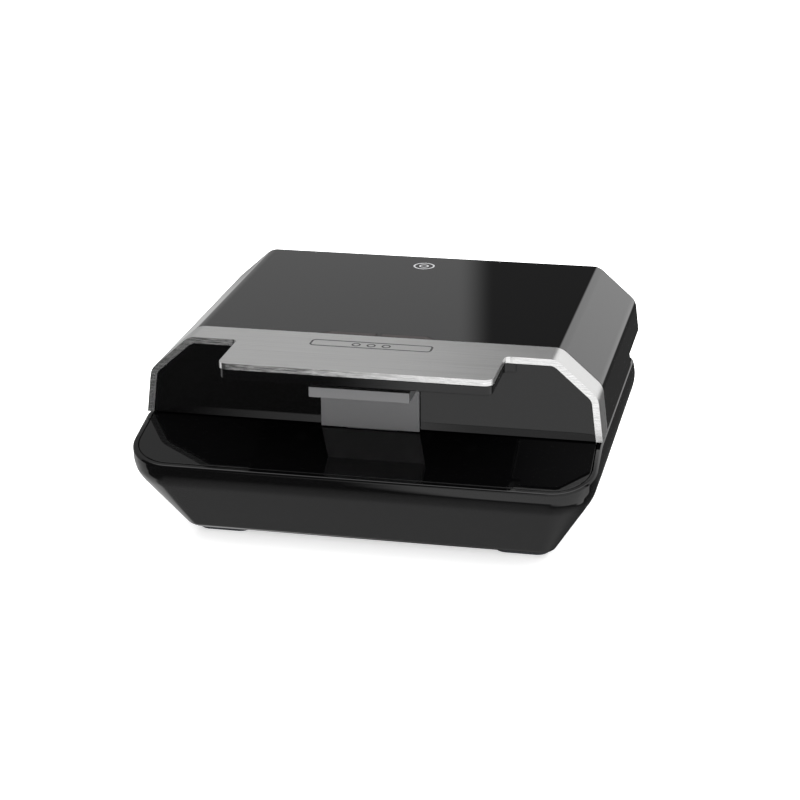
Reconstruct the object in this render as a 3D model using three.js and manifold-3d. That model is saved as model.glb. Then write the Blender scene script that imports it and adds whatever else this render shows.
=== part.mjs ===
// Countertop donut maker: a clamshell of two hinged shells that close two heated plates, each with six
// ring-shaped moulds. Millimetres, +Z up, +X to the object's right seen from the front, +Y to the back.
// The origin is on the table, under the middle of the footprint.
import * as THREE from "three";
import { mergeVertices } from "three/addons/utils/BufferGeometryUtils.js";
import Module from "manifold-3d";

const wasm = await Module();
wasm.setup();

// ---- Driving dimensions -------------------------------------------------------------------------
const GAP = 0.3; // clearance between touching pieces
const WALL = 2.5; // moulded shell thickness

// Levels, from the table up.
const BASE_BOTTOM_Z = 3; // underside of the lower housing, above the table
const DECK_Z = 66.8; // flat top of the base, under the lid
const PARTING_Z = 68; // lower edge of the lid
const LID_HEIGHT = 46.3;
const LID_TOP_Z = PARTING_Z + LID_HEIGHT;

// Lid outline, seen from the front: leaning sides, a chamfer and a flat top.
const LID_HALF_WIDTH = 130;
const LID_SIDE_HEIGHT = 25.7;
const LID_SIDE_LEAN = 3.1;
const LID_TOP_INSET = 26.3;
const LID_CORNER_RADIUS = 10;

// Depths, from the front to the back.
const BASE_FRONT_Y = -113.5;
const LID_FRONT_Y = -67;
const LID_REAR_Y = 113;
const BAND_DEPTH = 20.2;
const BAND_THICKNESS = 3.8;
const BAND_INNER_RADIUS = LID_CORNER_RADIUS - BAND_THICKNESS;
const BAND_REAR_Y = LID_FRONT_Y + BAND_DEPTH;
const REAR_STEP_Y = 64; // behind this the lid's skirt is cut short, to clear the hinges
const REAR_STEP_Z = 75;
const FRONT_PANEL_Y = LID_FRONT_Y + 1;
const FRONT_PANEL_THICKNESS = 2;

// Handle: a tab of the steel band, with a moulded grip under it.
const HANDLE_HALF_WIDTH = 75.5;
const HANDLE_FRONT_Y = -107;
const HANDLE_CORNER_RADIUS = 5;
const HANDLE_STEEL = 3.5;
const GRIP_THICKNESS = 5.2;

// Lower housing.
const BASE_HALF_WIDTH = 131.1; // at its widest, a little under the rim
const BASE_RIM_HALF_WIDTH = 129.8;
const BASE_WIDEST_DROP = 9.6; // from the rim down to the widest place
const BASE_WIDEST_Z = DECK_Z - BASE_WIDEST_DROP;
const BASE_REAR_Y = 90;
const BASE_SHOULDER_RADIUS = 27;
const BASE_FRONT_SHOULDER_RADIUS = 20;
const BASE_SIDE_TAPER = THREE.MathUtils.degToRad(30);
const BASE_FRONT_TAPER = THREE.MathUtils.degToRad(40);
const BASE_REAR_TAPER = THREE.MathUtils.degToRad(15);
const BASE_FRONT_SHOULDER_Z = 52.5;
const BASE_BOTTOM_RADIUS = 4;
const BASE_FRONT_CORNER_RADIUS = 24; // at the rim; it shrinks towards the bottom
const BASE_BOTTOM_CORNER_RADIUS = 6;
const BASE_REAR_CORNER_RADIUS = 13;
const LEDGE_SLOPE = Math.tan(THREE.MathUtils.degToRad(15));
const RIM_WIDTH = 3; // from the base's edge to the groove round the deck
const DECK_THICKNESS = 2.5;

// Moulds and plates.
const PLATE_HALF_WIDTH = 109;
const PLATE_HALF_DEPTH = 66;
const PLATE_CENTRE_Y = 12;
const PLATE_THICKNESS = 4;
const LOWER_LAND_Z = 66.9;
const UPPER_LAND_Z = 67.5;
const MOULD_PITCH_X = 72;
const MOULD_PITCH_Y = 64;
const MOULD_RING_RADIUS = 19.5;
const MOULD_HALF_WIDTH = 10;
const MOULD_DEPTH = 9;
const BOSS_RADIUS = 31.5;
const BOSS_DEPTH = 12.3;
const ELEMENT_RADIUS = 3.2;
const REFLECTOR_SHEET = 1;
const REFLECTOR_HALF_WIDTH = 106;
const REFLECTOR_HALF_DEPTH = 64.5;
const PLATE_SCREW_X = 98;
const PLATE_SCREW_DY = 57;

// Hinges, at the back on each side.
const HINGE_X = 80;
const HINGE_Y = 98;
const HINGE_Z = 65;
const HINGE_PIN_RADIUS = 2;
const HINGE_PIN_CLEARANCE = 0.08;
const KNUCKLE_RADIUS = 5;
const EAR_INSIDE = 9.4;
const EAR_THICKNESS = 4;

// Latch, under the handle.
const LATCH_HALF_WIDTH = 28;
const LATCH_FRONT_Y = LID_FRONT_Y - 1.2;
const LATCH_TIP_Y = -94.5;
const LATCH_BAR_BOTTOM_Z = 93.5;
const LATCH_BAR_TOP_Z = 99.4;
const LATCH_PIN_Y = -61.5;
const LATCH_PIN_Z = 96.5;
const LATCH_PIN_RADIUS = 1.5;
const STEM_HALF_WIDTH = 14;
const STEM_FRONT_Y = -64;
const STEM_REAR_Y = -61;
const HOOK_TIP_Y = -58;
const HOOK_BOTTOM_Z = 57.5;
const HOOK_SLOT_FRONT_Y = -67.7;
const HOOK_SLOT_REAR_Y = -57.6;

// Feet and fixings.
const FOOT_X = 86;
const FOOT_HALF_WIDTH = 15.5;
const FOOT_HALF_DEPTH = 10;
const FRONT_FOOT_Y = -62;
const REAR_FOOT_Y = 61;
const SCREW_RADIUS = 1.8;
const SCREW_HEAD_RADIUS = 3.6;
const SCREW_HEAD_HEIGHT = 2;

// ---- Materials ----------------------------------------------------------------------------------
const finish = (color, roughness, metalness) =>
  new THREE.MeshStandardMaterial({ color, roughness, metalness });
const GLOSS_BLACK = finish(0x0b0b0c, 0.12, 0);
const MATT_BLACK = finish(0x1b1b1c, 0.5, 0);
const BRUSHED_STEEL = finish(0xb4b4b2, 0.35, 1);
const BRIGHT_STEEL = finish(0xc8c8c8, 0.25, 1);
const GREY_PLASTIC = finish(0x8a8a8c, 0.55, 0);
const NONSTICK = finish(0x232325, 0.45, 0.2);
const REFLECTOR_METAL = finish(0xc4c6c8, 0.3, 1);
const ELEMENT_METAL = finish(0x6f6a62, 0.5, 1);
const RUBBER = finish(0x4a4c52, 0.8, 0);
const SMOKED_LENS = finish(0x3a1a1a, 0.1, 0);
const LAMP_GLASS = finish(0xe08a50, 0.1, 0);
const CERAMIC = finish(0xe6e2d6, 0.6, 0);
const WIRE_SLEEVE = finish(0xdedad0, 0.7, 0);
const BOARD = finish(0x8f7a4a, 0.6, 0);

// ---- Solids -------------------------------------------------------------------------------------
// A closed three.js geometry as a manifold-3d solid.
function solid(geometry) {
  const bare = geometry.clone();
  bare.deleteAttribute("normal");
  bare.deleteAttribute("uv");
  const merged = mergeVertices(bare, 1e-4);
  return new wasm.Manifold(
    new wasm.Mesh({
      numProp: 3,
      vertProperties: new Float32Array(merged.attributes.position.array),
      triVerts: new Uint32Array(merged.index.array),
    }),
  );
}

// A manifold-3d solid as a three.js geometry.
function geometryOf(shape) {
  const mesh = shape.getMesh();
  const position = new Float32Array(mesh.numVert * 3);
  for (let i = 0; i < mesh.numVert; i++) {
    const start = i * mesh.numProp;
    position.set(mesh.vertProperties.subarray(start, start + 3), i * 3);
  }
  const geometry = new THREE.BufferGeometry();
  geometry.setAttribute("position", new THREE.BufferAttribute(position, 3));
  geometry.setIndex(new THREE.BufferAttribute(new Uint32Array(mesh.triVerts), 1));
  const flat = geometry.toNonIndexed();
  flat.computeVertexNormals();
  return flat;
}

const union = (...shapes) => shapes.reduce((all, next) => all.add(next));
const cut = (shape, ...tools) => tools.reduce((left, tool) => left.subtract(tool), shape);

function box(x0, x1, y0, y1, z0, z1) {
  const geometry = new THREE.BoxGeometry(x1 - x0, y1 - y0, z1 - z0);
  geometry.translate((x0 + x1) / 2, (y0 + y1) / 2, (z0 + z1) / 2);
  return solid(geometry);
}

// A cylinder, or a cone frustum, standing on z0.
function post(x, y, z0, z1, radius, segments = 16, topRadius = radius) {
  const geometry = new THREE.CylinderGeometry(topRadius, radius, z1 - z0, segments);
  geometry.rotateX(Math.PI / 2);
  geometry.translate(x, y, (z0 + z1) / 2);
  return solid(geometry);
}

// A cylinder lying along X.
function rodX(x0, x1, y, z, radius, segments = 16) {
  const geometry = new THREE.CylinderGeometry(radius, radius, x1 - x0, segments);
  geometry.rotateZ(Math.PI / 2);
  geometry.translate((x0 + x1) / 2, y, z);
  return solid(geometry);
}

// A cylinder lying along Y.
function rodY(x, y0, y1, z, radius, segments = 16) {
  const geometry = new THREE.CylinderGeometry(radius, radius, y1 - y0, segments);
  geometry.translate(x, (y0 + y1) / 2, z);
  return solid(geometry);
}

const AXES = {
  x: new THREE.Matrix4().makeBasis(
    new THREE.Vector3(0, 1, 0),
    new THREE.Vector3(0, 0, 1),
    new THREE.Vector3(1, 0, 0),
  ),
  y: new THREE.Matrix4().makeBasis(
    new THREE.Vector3(1, 0, 0),
    new THREE.Vector3(0, 0, 1),
    new THREE.Vector3(0, -1, 0),
  ),
  z: new THREE.Matrix4(),
};

// An outline extruded along one axis, from low to high. The outline is in (y, z) for x, (x, z) for y and
// (x, y) for z.
function prism(axis, outline, low, high) {
  const shape = new THREE.Shape(outline.map(([a, b]) => new THREE.Vector2(a, b)));
  const geometry = new THREE.ExtrudeGeometry(shape, { depth: high - low, bevelEnabled: false });
  geometry.translate(0, 0, axis === "y" ? -high : low);
  geometry.applyMatrix4(AXES[axis]);
  return solid(geometry);
}

// A closed outline with its corners rounded, each by its own radius.
function rounded(corners, radii, segments = 4) {
  const points = [];
  corners.forEach(([x, y], i) => {
    const radius = Array.isArray(radii) ? radii[i] : radii;
    const corner = new THREE.Vector2(x, y);
    const before = new THREE.Vector2(...corners.at(i - 1)).sub(corner).normalize();
    const after = new THREE.Vector2(...corners[(i + 1) % corners.length]).sub(corner).normalize();
    if (radius <= 0) {
      points.push([x, y]);
      return;
    }
    const half = Math.acos(THREE.MathUtils.clamp(before.dot(after), -1, 1)) / 2;
    const start = corner.clone().addScaledVector(before, radius / Math.tan(half));
    const end = corner.clone().addScaledVector(after, radius / Math.tan(half));
    const middle = before.clone().add(after).normalize();
    const centre = corner.clone().addScaledVector(middle, radius / Math.sin(half));
    const from = start.clone().sub(centre).angle();
    let turn = end.clone().sub(centre).angle() - from;
    if (turn > Math.PI) turn -= 2 * Math.PI;
    if (turn < -Math.PI) turn += 2 * Math.PI;
    for (let k = 0; k <= segments; k++) {
      const angle = from + (turn * k) / segments;
      points.push([centre.x + radius * Math.cos(angle), centre.y + radius * Math.sin(angle)]);
    }
  });
  return points;
}

function rectangle(x0, x1, y0, y1, radius = 0, segments = 4) {
  const corners = [
    [x0, y0],
    [x1, y0],
    [x1, y1],
    [x0, y1],
  ];
  return radius ? rounded(corners, radius, segments) : corners;
}

// A solid skinned over convex sections, each a list of points with the same count, from the bottom up.
function loft(sections) {
  const count = sections[0].length;
  const position = sections.flat(2);
  const index = [];
  for (let level = 0; level + 1 < sections.length; level++) {
    for (let i = 0; i < count; i++) {
      const a = level * count + i;
      const b = level * count + ((i + 1) % count);
      index.push(a, b, b + count, a, b + count, a + count);
    }
  }
  const top = (sections.length - 1) * count;
  for (let i = 1; i + 1 < count; i++) {
    index.push(0, i + 1, i);
    index.push(top, top + i, top + i + 1);
  }
  const geometry = new THREE.BufferGeometry();
  geometry.setAttribute("position", new THREE.Float32BufferAttribute(position, 3));
  geometry.setIndex(index);
  return solid(geometry);
}

// A round bar along a path of points, with smooth bends.
function bar(points, radius, steps, sides = 8) {
  const section = new THREE.Shape(
    Array.from({ length: sides }, (_, i) => {
      const angle = (2 * Math.PI * i) / sides;
      return new THREE.Vector2(radius * Math.cos(angle), radius * Math.sin(angle));
    }),
  );
  const path = new THREE.CatmullRomCurve3(points.map((p) => new THREE.Vector3(...p)), false, "centripetal");
  const geometry = new THREE.ExtrudeGeometry(section, { steps, extrudePath: path, bevelEnabled: false });
  return solid(geometry);
}

const root = new THREE.Group();

function add(name, shape, material) {
  const mesh = new THREE.Mesh(geometryOf(shape), material);
  mesh.name = name;
  root.add(mesh);
}

// ---- Outlines that several pieces share ---------------------------------------------------------
// The lid's outline in (x, z), moved in by inset, open downwards to the level bottom.
function lidOutline(inset, bottom, radius = LID_CORNER_RADIUS) {
  const sideAngle = Math.atan(LID_SIDE_LEAN / LID_SIDE_HEIGHT);
  const rise = LID_HEIGHT - LID_SIDE_HEIGHT;
  const run = LID_TOP_INSET - LID_SIDE_LEAN;
  const chamferAngle = Math.atan2(run, rise);
  // Each line is moved in along its own normal, and the corners are where neighbours meet.
  const sideAt = (z) => LID_HALF_WIDTH - (z - PARTING_Z) * Math.tan(sideAngle) - inset / Math.cos(sideAngle);
  const chamferAt = (z) =>
    LID_HALF_WIDTH - LID_SIDE_LEAN - (z - PARTING_Z - LID_SIDE_HEIGHT) * Math.tan(chamferAngle)
    - inset / Math.cos(chamferAngle);
  const top = LID_TOP_Z - inset;
  const slopeGap = Math.tan(chamferAngle) - Math.tan(sideAngle);
  const kneeZ = top - (sideAt(top) - chamferAt(top)) / slopeGap;
  const knee = sideAt(kneeZ);
  const shoulder = chamferAt(top);
  const corners = [
    [sideAt(bottom), bottom],
    [knee, kneeZ],
    [shoulder, top],
    [-shoulder, top],
    [-knee, kneeZ],
    [-sideAt(bottom), bottom],
  ];
  return rounded(corners, [0, radius, radius, radius, radius, 0], 5);
}

// The base's top surface, seen from the side, as a region from far below up to the surface.
function underTop(drop) {
  const front = BASE_FRONT_Y - 10;
  const frontZ = DECK_Z - (LID_FRONT_Y - front) * LEDGE_SLOPE;
  const outline = [
    [front, -20],
    [LID_REAR_Y, -20],
    [LID_REAR_Y, DECK_Z - drop],
    [LID_FRONT_Y, DECK_Z - drop],
    [front, frontZ - drop],
  ];
  return prism("x", outline, -BASE_HALF_WIDTH - 10, BASE_HALF_WIDTH + 10);
}

// How far a tapering wall has come in at height z, below a shoulder that starts at startZ.
function taperInset(z, startZ, angle, radius) {
  const arcEndZ = startZ - radius * Math.sin(angle);
  if (z >= startZ) return 0;
  if (z >= arcEndZ) return radius - Math.sqrt(radius ** 2 - (startZ - z) ** 2);
  return radius * (1 - Math.cos(angle)) + (arcEndZ - z) * Math.tan(angle);
}

// The small rounding where the walls meet the underside.
function bottomRounding(z) {
  const up = BASE_BOTTOM_Z + BASE_BOTTOM_RADIUS - z;
  return up > 0 ? BASE_BOTTOM_RADIUS - Math.sqrt(BASE_BOTTOM_RADIUS ** 2 - up ** 2) : 0;
}

// How far the side wall is still inside its widest line, at a depth below the rim.
function sideTuck(depth) {
  const share = THREE.MathUtils.clamp(depth / BASE_WIDEST_DROP, 0, 1);
  return (BASE_HALF_WIDTH - BASE_RIM_HALF_WIDTH) * (1 - Math.sin((share * Math.PI) / 2));
}

// One level section of the base, moved in by inset.
function baseSection(z, wallInset, sectionZ = z) {
  const inset = wallInset + bottomRounding(sectionZ);
  const sideTaper = taperInset(sectionZ, BASE_WIDEST_Z, BASE_SIDE_TAPER, BASE_SHOULDER_RADIUS);
  const side = BASE_HALF_WIDTH - sideTaper - inset;
  const taper = taperInset(sectionZ, BASE_FRONT_SHOULDER_Z, BASE_FRONT_TAPER, BASE_FRONT_SHOULDER_RADIUS);
  const front = BASE_FRONT_Y + taper + inset;
  const rearTaper = taperInset(sectionZ, BASE_WIDEST_Z, BASE_REAR_TAPER, BASE_SHOULDER_RADIUS);
  const ledgeDrop = (LID_FRONT_Y - BASE_FRONT_Y) * LEDGE_SLOPE;
  const tuck = sideTuck(DECK_Z - sectionZ);
  const halfFront = side - sideTuck(DECK_Z - ledgeDrop - sectionZ);
  const halfWidth = side - tuck;
  const rear = BASE_REAR_Y - tuck - rearTaper - inset;
  const corners = [
    [-halfFront, front],
    [halfFront, front],
    [halfWidth, LID_FRONT_Y],
    [halfWidth, rear],
    [-halfWidth, rear],
    [-halfWidth, LID_FRONT_Y],
  ];
  const share = THREE.MathUtils.clamp((sectionZ - BASE_BOTTOM_Z) / (50 - BASE_BOTTOM_Z), 0, 1);
  const cornerRadius = THREE.MathUtils.lerp(BASE_BOTTOM_CORNER_RADIUS, BASE_FRONT_CORNER_RADIUS, share);
  const frontRadius = cornerRadius - wallInset;
  const rearRadius = BASE_REAR_CORNER_RADIUS - wallInset;
  const outline = rounded(corners, [frontRadius, frontRadius, 0, rearRadius, rearRadius, 0], 6);
  return outline.map(([x, y]) => [x, y, z]);
}

const BASE_LEVELS = [
  BASE_BOTTOM_Z,
  4,
  BASE_BOTTOM_Z + BASE_BOTTOM_RADIUS,
  20,
  39.6,
  43.7,
  47,
  50,
  52.5,
  55,
  BASE_WIDEST_Z,
  61,
  64.5,
  DECK_Z + 1,
];

// ---- Base ---------------------------------------------------------------------------------------
const COVER_OUTLINE = [-72, 72, -58, 66];
const COVER_SCREWS = [
  [-66, -52],
  [66, -52],
  [-66, 60],
  [66, 60],
];
const CORD_X = 56;
const CORD_Z = 26;
const CORD_BUSH_RADIUS = 6;

function feetPlaces() {
  return [
    ["foot_front_left", -FOOT_X, FRONT_FOOT_Y],
    ["foot_front_right", FOOT_X, FRONT_FOOT_Y],
    ["foot_rear_left", -FOOT_X, REAR_FOOT_Y],
    ["foot_rear_right", FOOT_X, REAR_FOOT_Y],
  ];
}

function makeBaseHousing() {
  const floor = 4;
  const rimThickness = 3;
  const outer = loft(BASE_LEVELS.map((z) => baseSection(z, 0)));
  const inner = loft(BASE_LEVELS.map((z, i) => baseSection(i ? z : z + floor, WALL, z)));
  const cavity = inner.intersect(underTop(rimThickness));
  const deckHole = loft([40, 90].map((z) => baseSection(z, RIM_WIDTH, DECK_Z)));
  const [x0, x1, y0, y1] = COVER_OUTLINE;
  const bottom = BASE_BOTTOM_Z;
  const recess = box(x0 - GAP, x1 + GAP, y0 - GAP, y1 + GAP, bottom - 1, bottom + 2.3);
  const opening = box(x0 + 12, x1 - 12, y0 + 12, y1 - 12, bottom - 1, bottom + floor + 1);
  const screwHoles = COVER_SCREWS.map(([x, y]) => post(x, y, bottom, bottom + floor + 1, 2.1, 10));
  const footHoles = feetPlaces().map(([, x, y]) => post(x, y, bottom - 1, bottom + floor + 1, 3.3, 10));
  const cordHole = rodY(CORD_X, BASE_REAR_Y - 25, BASE_REAR_Y + 5, CORD_Z, CORD_BUSH_RADIUS + GAP, 20);
  const housing = cut(outer.intersect(underTop(0)), cavity, deckHole, recess, opening);
  add("base_housing", cut(housing, ...screwHoles, ...footHoles, cordHole), GLOSS_BLACK);
}

// The glossy inlay on top of the base: the sloping front ledge and the frame round the lower plate.
function makeBaseDeck() {
  const outline = loft([40, 90].map((z) => baseSection(z, RIM_WIDTH + 0.4, DECK_Z)));
  const sheet = cut(underTop(0), underTop(DECK_THICKNESS));
  const plateHole = box(
    -PLATE_HALF_WIDTH - 0.6,
    PLATE_HALF_WIDTH + 0.6,
    PLATE_CENTRE_Y - PLATE_HALF_DEPTH - 0.6,
    PLATE_CENTRE_Y + PLATE_HALF_DEPTH + 0.6,
    50,
    80,
  );
  const half = STEM_HALF_WIDTH + 1.5;
  const hookSlot = box(-half, half, HOOK_SLOT_FRONT_Y, HOOK_SLOT_REAR_Y, 50, 80);
  add("base_deck", cut(outline.intersect(sheet), plateHole, hookSlot), GLOSS_BLACK);
}

function makeBottomCover() {
  const [x0, x1, y0, y1] = COVER_OUTLINE;
  const plate = prism("z", rectangle(x0, x1, y0, y1, 6), BASE_BOTTOM_Z, BASE_BOTTOM_Z + 2);
  const vents = [];
  for (let row = 0; row < 7; row++) {
    const y = y0 + 32 + row * 10;
    for (const side of [-1, 1]) {
      const middle = side * 26;
      vents.push(box(middle - 17, middle + 17, y - 1.5, y + 1.5, 0, 10));
    }
  }
  const holes = COVER_SCREWS.map(([x, y]) => post(x, y, 0, 10, 2.2, 10));
  add("bottom_cover", cut(plate, ...vents, ...holes), MATT_BLACK);
  COVER_SCREWS.forEach(([x, y], i) => {
    const head = post(x, y, BASE_BOTTOM_Z - SCREW_HEAD_HEIGHT, BASE_BOTTOM_Z - GAP, SCREW_HEAD_RADIUS, 14);
    const shank = post(x, y, BASE_BOTTOM_Z - 0.5, BASE_BOTTOM_Z + 8, SCREW_RADIUS, 10);
    add(`bottom_screw_${i + 1}`, union(head, shank), BRIGHT_STEEL);
  });
}

function makeFeet() {
  for (const [name, x, y] of feetPlaces()) {
    const outline = rectangle(
      x - FOOT_HALF_WIDTH,
      x + FOOT_HALF_WIDTH,
      y - FOOT_HALF_DEPTH,
      y + FOOT_HALF_DEPTH,
      7,
      5,
    );
    const pad = prism("z", outline, 0, BASE_BOTTOM_Z - 0.2);
    const plug = post(x, y, 1, BASE_BOTTOM_Z + 5.5, 3, 10);
    add(name, union(pad, plug), RUBBER);
  }
}

// A soft bush in the back wall, where the mains lead goes in.
function makeCordBush() {
  const wall = loft(BASE_LEVELS.map((z) => baseSection(z, -GAP)));
  const collar = rodY(CORD_X, BASE_REAR_Y - 14, BASE_REAR_Y - 2.5, CORD_Z, CORD_BUSH_RADIUS + 2.5, 24);
  const sleeve = rodY(CORD_X, BASE_REAR_Y - 16, BASE_REAR_Y - 3, CORD_Z, CORD_BUSH_RADIUS, 24);
  const bore = rodY(CORD_X, BASE_REAR_Y - 30, BASE_REAR_Y + 10, CORD_Z, 3.7, 20);
  add("cord_bush", cut(union(cut(collar, wall), sleeve), bore), RUBBER);
}

function makeTerminalBlock() {
  const z0 = BASE_BOTTOM_Z + 4 + GAP;
  const block = box(24, 54, 59, 70.5, z0, z0 + 12);
  const ways = [31, 39, 47].map((x) => rodY(x, 55, 80, z0 + 8, 1.8, 8));
  const screws = [31, 39, 47].map((x) => post(x, 64.7, z0 + 9, z0 + 14, 1.6, 8));
  add("terminal_block", cut(block, ...ways, ...screws), CERAMIC);
}

// ---- Plates, elements and reflectors ------------------------------------------------------------
function mouldCentres() {
  const centres = [];
  for (const column of [-1, 0, 1]) {
    for (const row of [-0.5, 0.5]) {
      centres.push([column * MOULD_PITCH_X, PLATE_CENTRE_Y + row * MOULD_PITCH_Y]);
    }
  }
  return centres;
}

// A ring-shaped cutter: the half of a donut below the level of the land, for a plate that faces up.
function mouldCutter() {
  const steps = 6;
  const profile = [new THREE.Vector2(MOULD_RING_RADIUS - MOULD_HALF_WIDTH, 1)];
  for (let i = 0; i <= steps; i++) {
    const angle = Math.PI + (Math.PI * i) / steps;
    const radius = MOULD_RING_RADIUS + MOULD_HALF_WIDTH * Math.cos(angle);
    profile.push(new THREE.Vector2(radius, MOULD_DEPTH * Math.sin(angle)));
  }
  profile.push(new THREE.Vector2(MOULD_RING_RADIUS + MOULD_HALF_WIDTH, 1));
  profile.push(profile[0].clone());
  const geometry = new THREE.LatheGeometry(profile, 24);
  geometry.rotateX(Math.PI / 2);
  return solid(geometry);
}

function plateScrewPlaces() {
  const places = [];
  for (const x of [-PLATE_SCREW_X, PLATE_SCREW_X]) {
    for (const dy of [-PLATE_SCREW_DY, PLATE_SCREW_DY]) {
      places.push([x, PLATE_CENTRE_Y + dy]);
    }
  }
  return places;
}

// The plate as it would lie with its land up at z = 0.
function plateFacingUp() {
  const y0 = PLATE_CENTRE_Y - PLATE_HALF_DEPTH;
  const y1 = PLATE_CENTRE_Y + PLATE_HALF_DEPTH;
  const slab = prism("z", rectangle(-PLATE_HALF_WIDTH, PLATE_HALF_WIDTH, y0, y1, 5), -PLATE_THICKNESS, 0);
  const bosses = mouldCentres().map(([x, y]) =>
    post(x, y, -BOSS_DEPTH, -PLATE_THICKNESS + 1, BOSS_RADIUS - 4, 24, BOSS_RADIUS),
  );
  const ring = mouldCutter();
  const moulds = mouldCentres().map(([x, y]) => ring.translate([x, y, 0]));
  const holes = plateScrewPlaces().map(([x, y]) => post(x, y, -PLATE_THICKNESS - 1, -1.4, 2.1, 8));
  return cut(union(slab, ...bosses), ...moulds, ...holes);
}

// The same thing for the lid: turned over about the X axis, so that its land faces down.
const facingDown = (shape) =>
  shape.translate([0, -PLATE_CENTRE_Y, 0]).rotate([180, 0, 0]).translate([0, PLATE_CENTRE_Y, 0]);

// A folded tray behind the plate, opening towards it, with its rim just under the plate.
function reflectorFacingUp() {
  const rim = -PLATE_THICKNESS - GAP;
  const depth = -PLATE_THICKNESS - 20;
  const section = (grow, z) =>
    rectangle(
      -REFLECTOR_HALF_WIDTH - grow,
      REFLECTOR_HALF_WIDTH + grow,
      PLATE_CENTRE_Y - REFLECTOR_HALF_DEPTH - grow,
      PLATE_CENTRE_Y + REFLECTOR_HALF_DEPTH + grow,
      6 + grow,
    ).map(([x, y]) => [x, y, z]);
  const outside = loft([section(-3, depth), section(0, rim)]);
  const inside = loft([
    section(-3 - REFLECTOR_SHEET, depth + REFLECTOR_SHEET),
    section(-REFLECTOR_SHEET, rim),
    section(-REFLECTOR_SHEET, rim + 1),
  ]);
  const screwHoles = plateScrewPlaces().map(([x, y]) => post(x, y, depth - 1, depth + 3, 2.3, 8));
  const leadHoles = [-72, 72].map((x) => rodY(x, 60, 90, elementLevel(), ELEMENT_RADIUS + 0.6, 10));
  return cut(outside, inside, ...screwHoles, ...leadHoles);
}

const elementLevel = () => -BOSS_DEPTH - ELEMENT_RADIUS - GAP;

// A sheathed heating rod, bent to a U that runs under the bosses, with its cold ends at the back.
function elementFacingUp() {
  const z = elementLevel();
  const corner = 16;
  const front = PLATE_CENTRE_Y - MOULD_PITCH_Y / 2;
  const back = PLATE_CENTRE_Y + REFLECTOR_HALF_DEPTH + 6;
  const turn = (cx, cy, from) =>
    [0, 1, 2, 3].map((i) => {
      const angle = from + (i * Math.PI) / 6;
      return [cx + corner * Math.cos(angle), cy + corner * Math.sin(angle), z];
    });
  const points = [
    [-MOULD_PITCH_X, back, z],
    [-MOULD_PITCH_X, PLATE_CENTRE_Y, z],
    ...turn(-MOULD_PITCH_X + corner, front + corner, Math.PI),
    [0, front, z],
    ...turn(MOULD_PITCH_X - corner, front + corner, -Math.PI / 2),
    [MOULD_PITCH_X, PLATE_CENTRE_Y, z],
    [MOULD_PITCH_X, back, z],
  ];
  return bar(points, ELEMENT_RADIUS, 48);
}

function plateScrewFacingUp(x, y) {
  const bottom = -PLATE_THICKNESS - 20;
  const head = post(x, y, bottom - GAP - SCREW_HEAD_HEIGHT, bottom - GAP, SCREW_HEAD_RADIUS, 12);
  const shank = post(x, y, bottom - 1, -1.8, SCREW_RADIUS, 8);
  return union(head, shank);
}

function makeHeatedPlates() {
  const lift = (shape) => shape.translate([0, 0, LOWER_LAND_Z]);
  const flip = (shape) => facingDown(shape).translate([0, 0, UPPER_LAND_Z]);
  for (const [side, place] of [["lower", lift], ["upper", flip]]) {
    const rear = (y) => (side === "lower" ? y : 2 * PLATE_CENTRE_Y - y);
    // The lid's element and reflector keep their cold ends at the back, so they are mirrored first.
    const mirrored = (shape) =>
      side === "lower"
        ? shape
        : shape.translate([0, -PLATE_CENTRE_Y, 0]).rotate([0, 0, 180]).translate([0, PLATE_CENTRE_Y, 0]);
    add(`${side}_donut_plate`, place(plateFacingUp()), NONSTICK);
    add(`${side}_reflector`, place(mirrored(reflectorFacingUp())), REFLECTOR_METAL);
    add(`${side}_heating_element`, place(mirrored(elementFacingUp())), ELEMENT_METAL);
    plateScrewPlaces().forEach(([x, y], i) => {
      add(`${side}_plate_screw_${i + 1}`, place(plateScrewFacingUp(x, rear(y))), BRIGHT_STEEL);
    });
  }
}

// The thermostat and the thermal cut-out press against the back of the lower plate.
function makeControls() {
  const back = LOWER_LAND_Z - PLATE_THICKNESS - GAP;
  const y = PLATE_CENTRE_Y;
  const can = post(MOULD_PITCH_X / 2, y, back - 7, back, 7.5, 18);
  const tabs = box(MOULD_PITCH_X / 2 - 11, MOULD_PITCH_X / 2 + 11, y - 2.5, y + 2.5, back - 8, back - 6.4);
  add("thermostat", union(can, tabs), BRIGHT_STEEL);
  const fuse = rodX(-MOULD_PITCH_X / 2 - 9, -MOULD_PITCH_X / 2 + 9, y, back - 2.6, 2.4, 12);
  const leads = rodX(-MOULD_PITCH_X / 2 - 16, -MOULD_PITCH_X / 2 + 16, y, back - 2.6, 0.8, 8);
  add("thermal_fuse", union(fuse, leads), WIRE_SLEEVE);
}

// ---- Lid ----------------------------------------------------------------------------------------
const LENS_OUTER_X = 32;
const LENS_INNER_X = 1.6;
const LENS_DEPTH = 4.4;

function lensOutline(side, grow) {
  const front = BAND_REAR_Y + GAP;
  const y0 = front - grow;
  const y1 = front + LENS_DEPTH + grow;
  const inner = LENS_INNER_X - grow;
  const outerAt = (y) => LENS_OUTER_X + 1.5 * grow - (y - front) * 1.1;
  const points = [
    [inner, y0],
    [outerAt(y0), y0],
    [outerAt(y1), y1],
    [inner, y1],
  ].map(([x, y]) => [side * x, y]);
  return side > 0 ? points : points.reverse();
}

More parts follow.
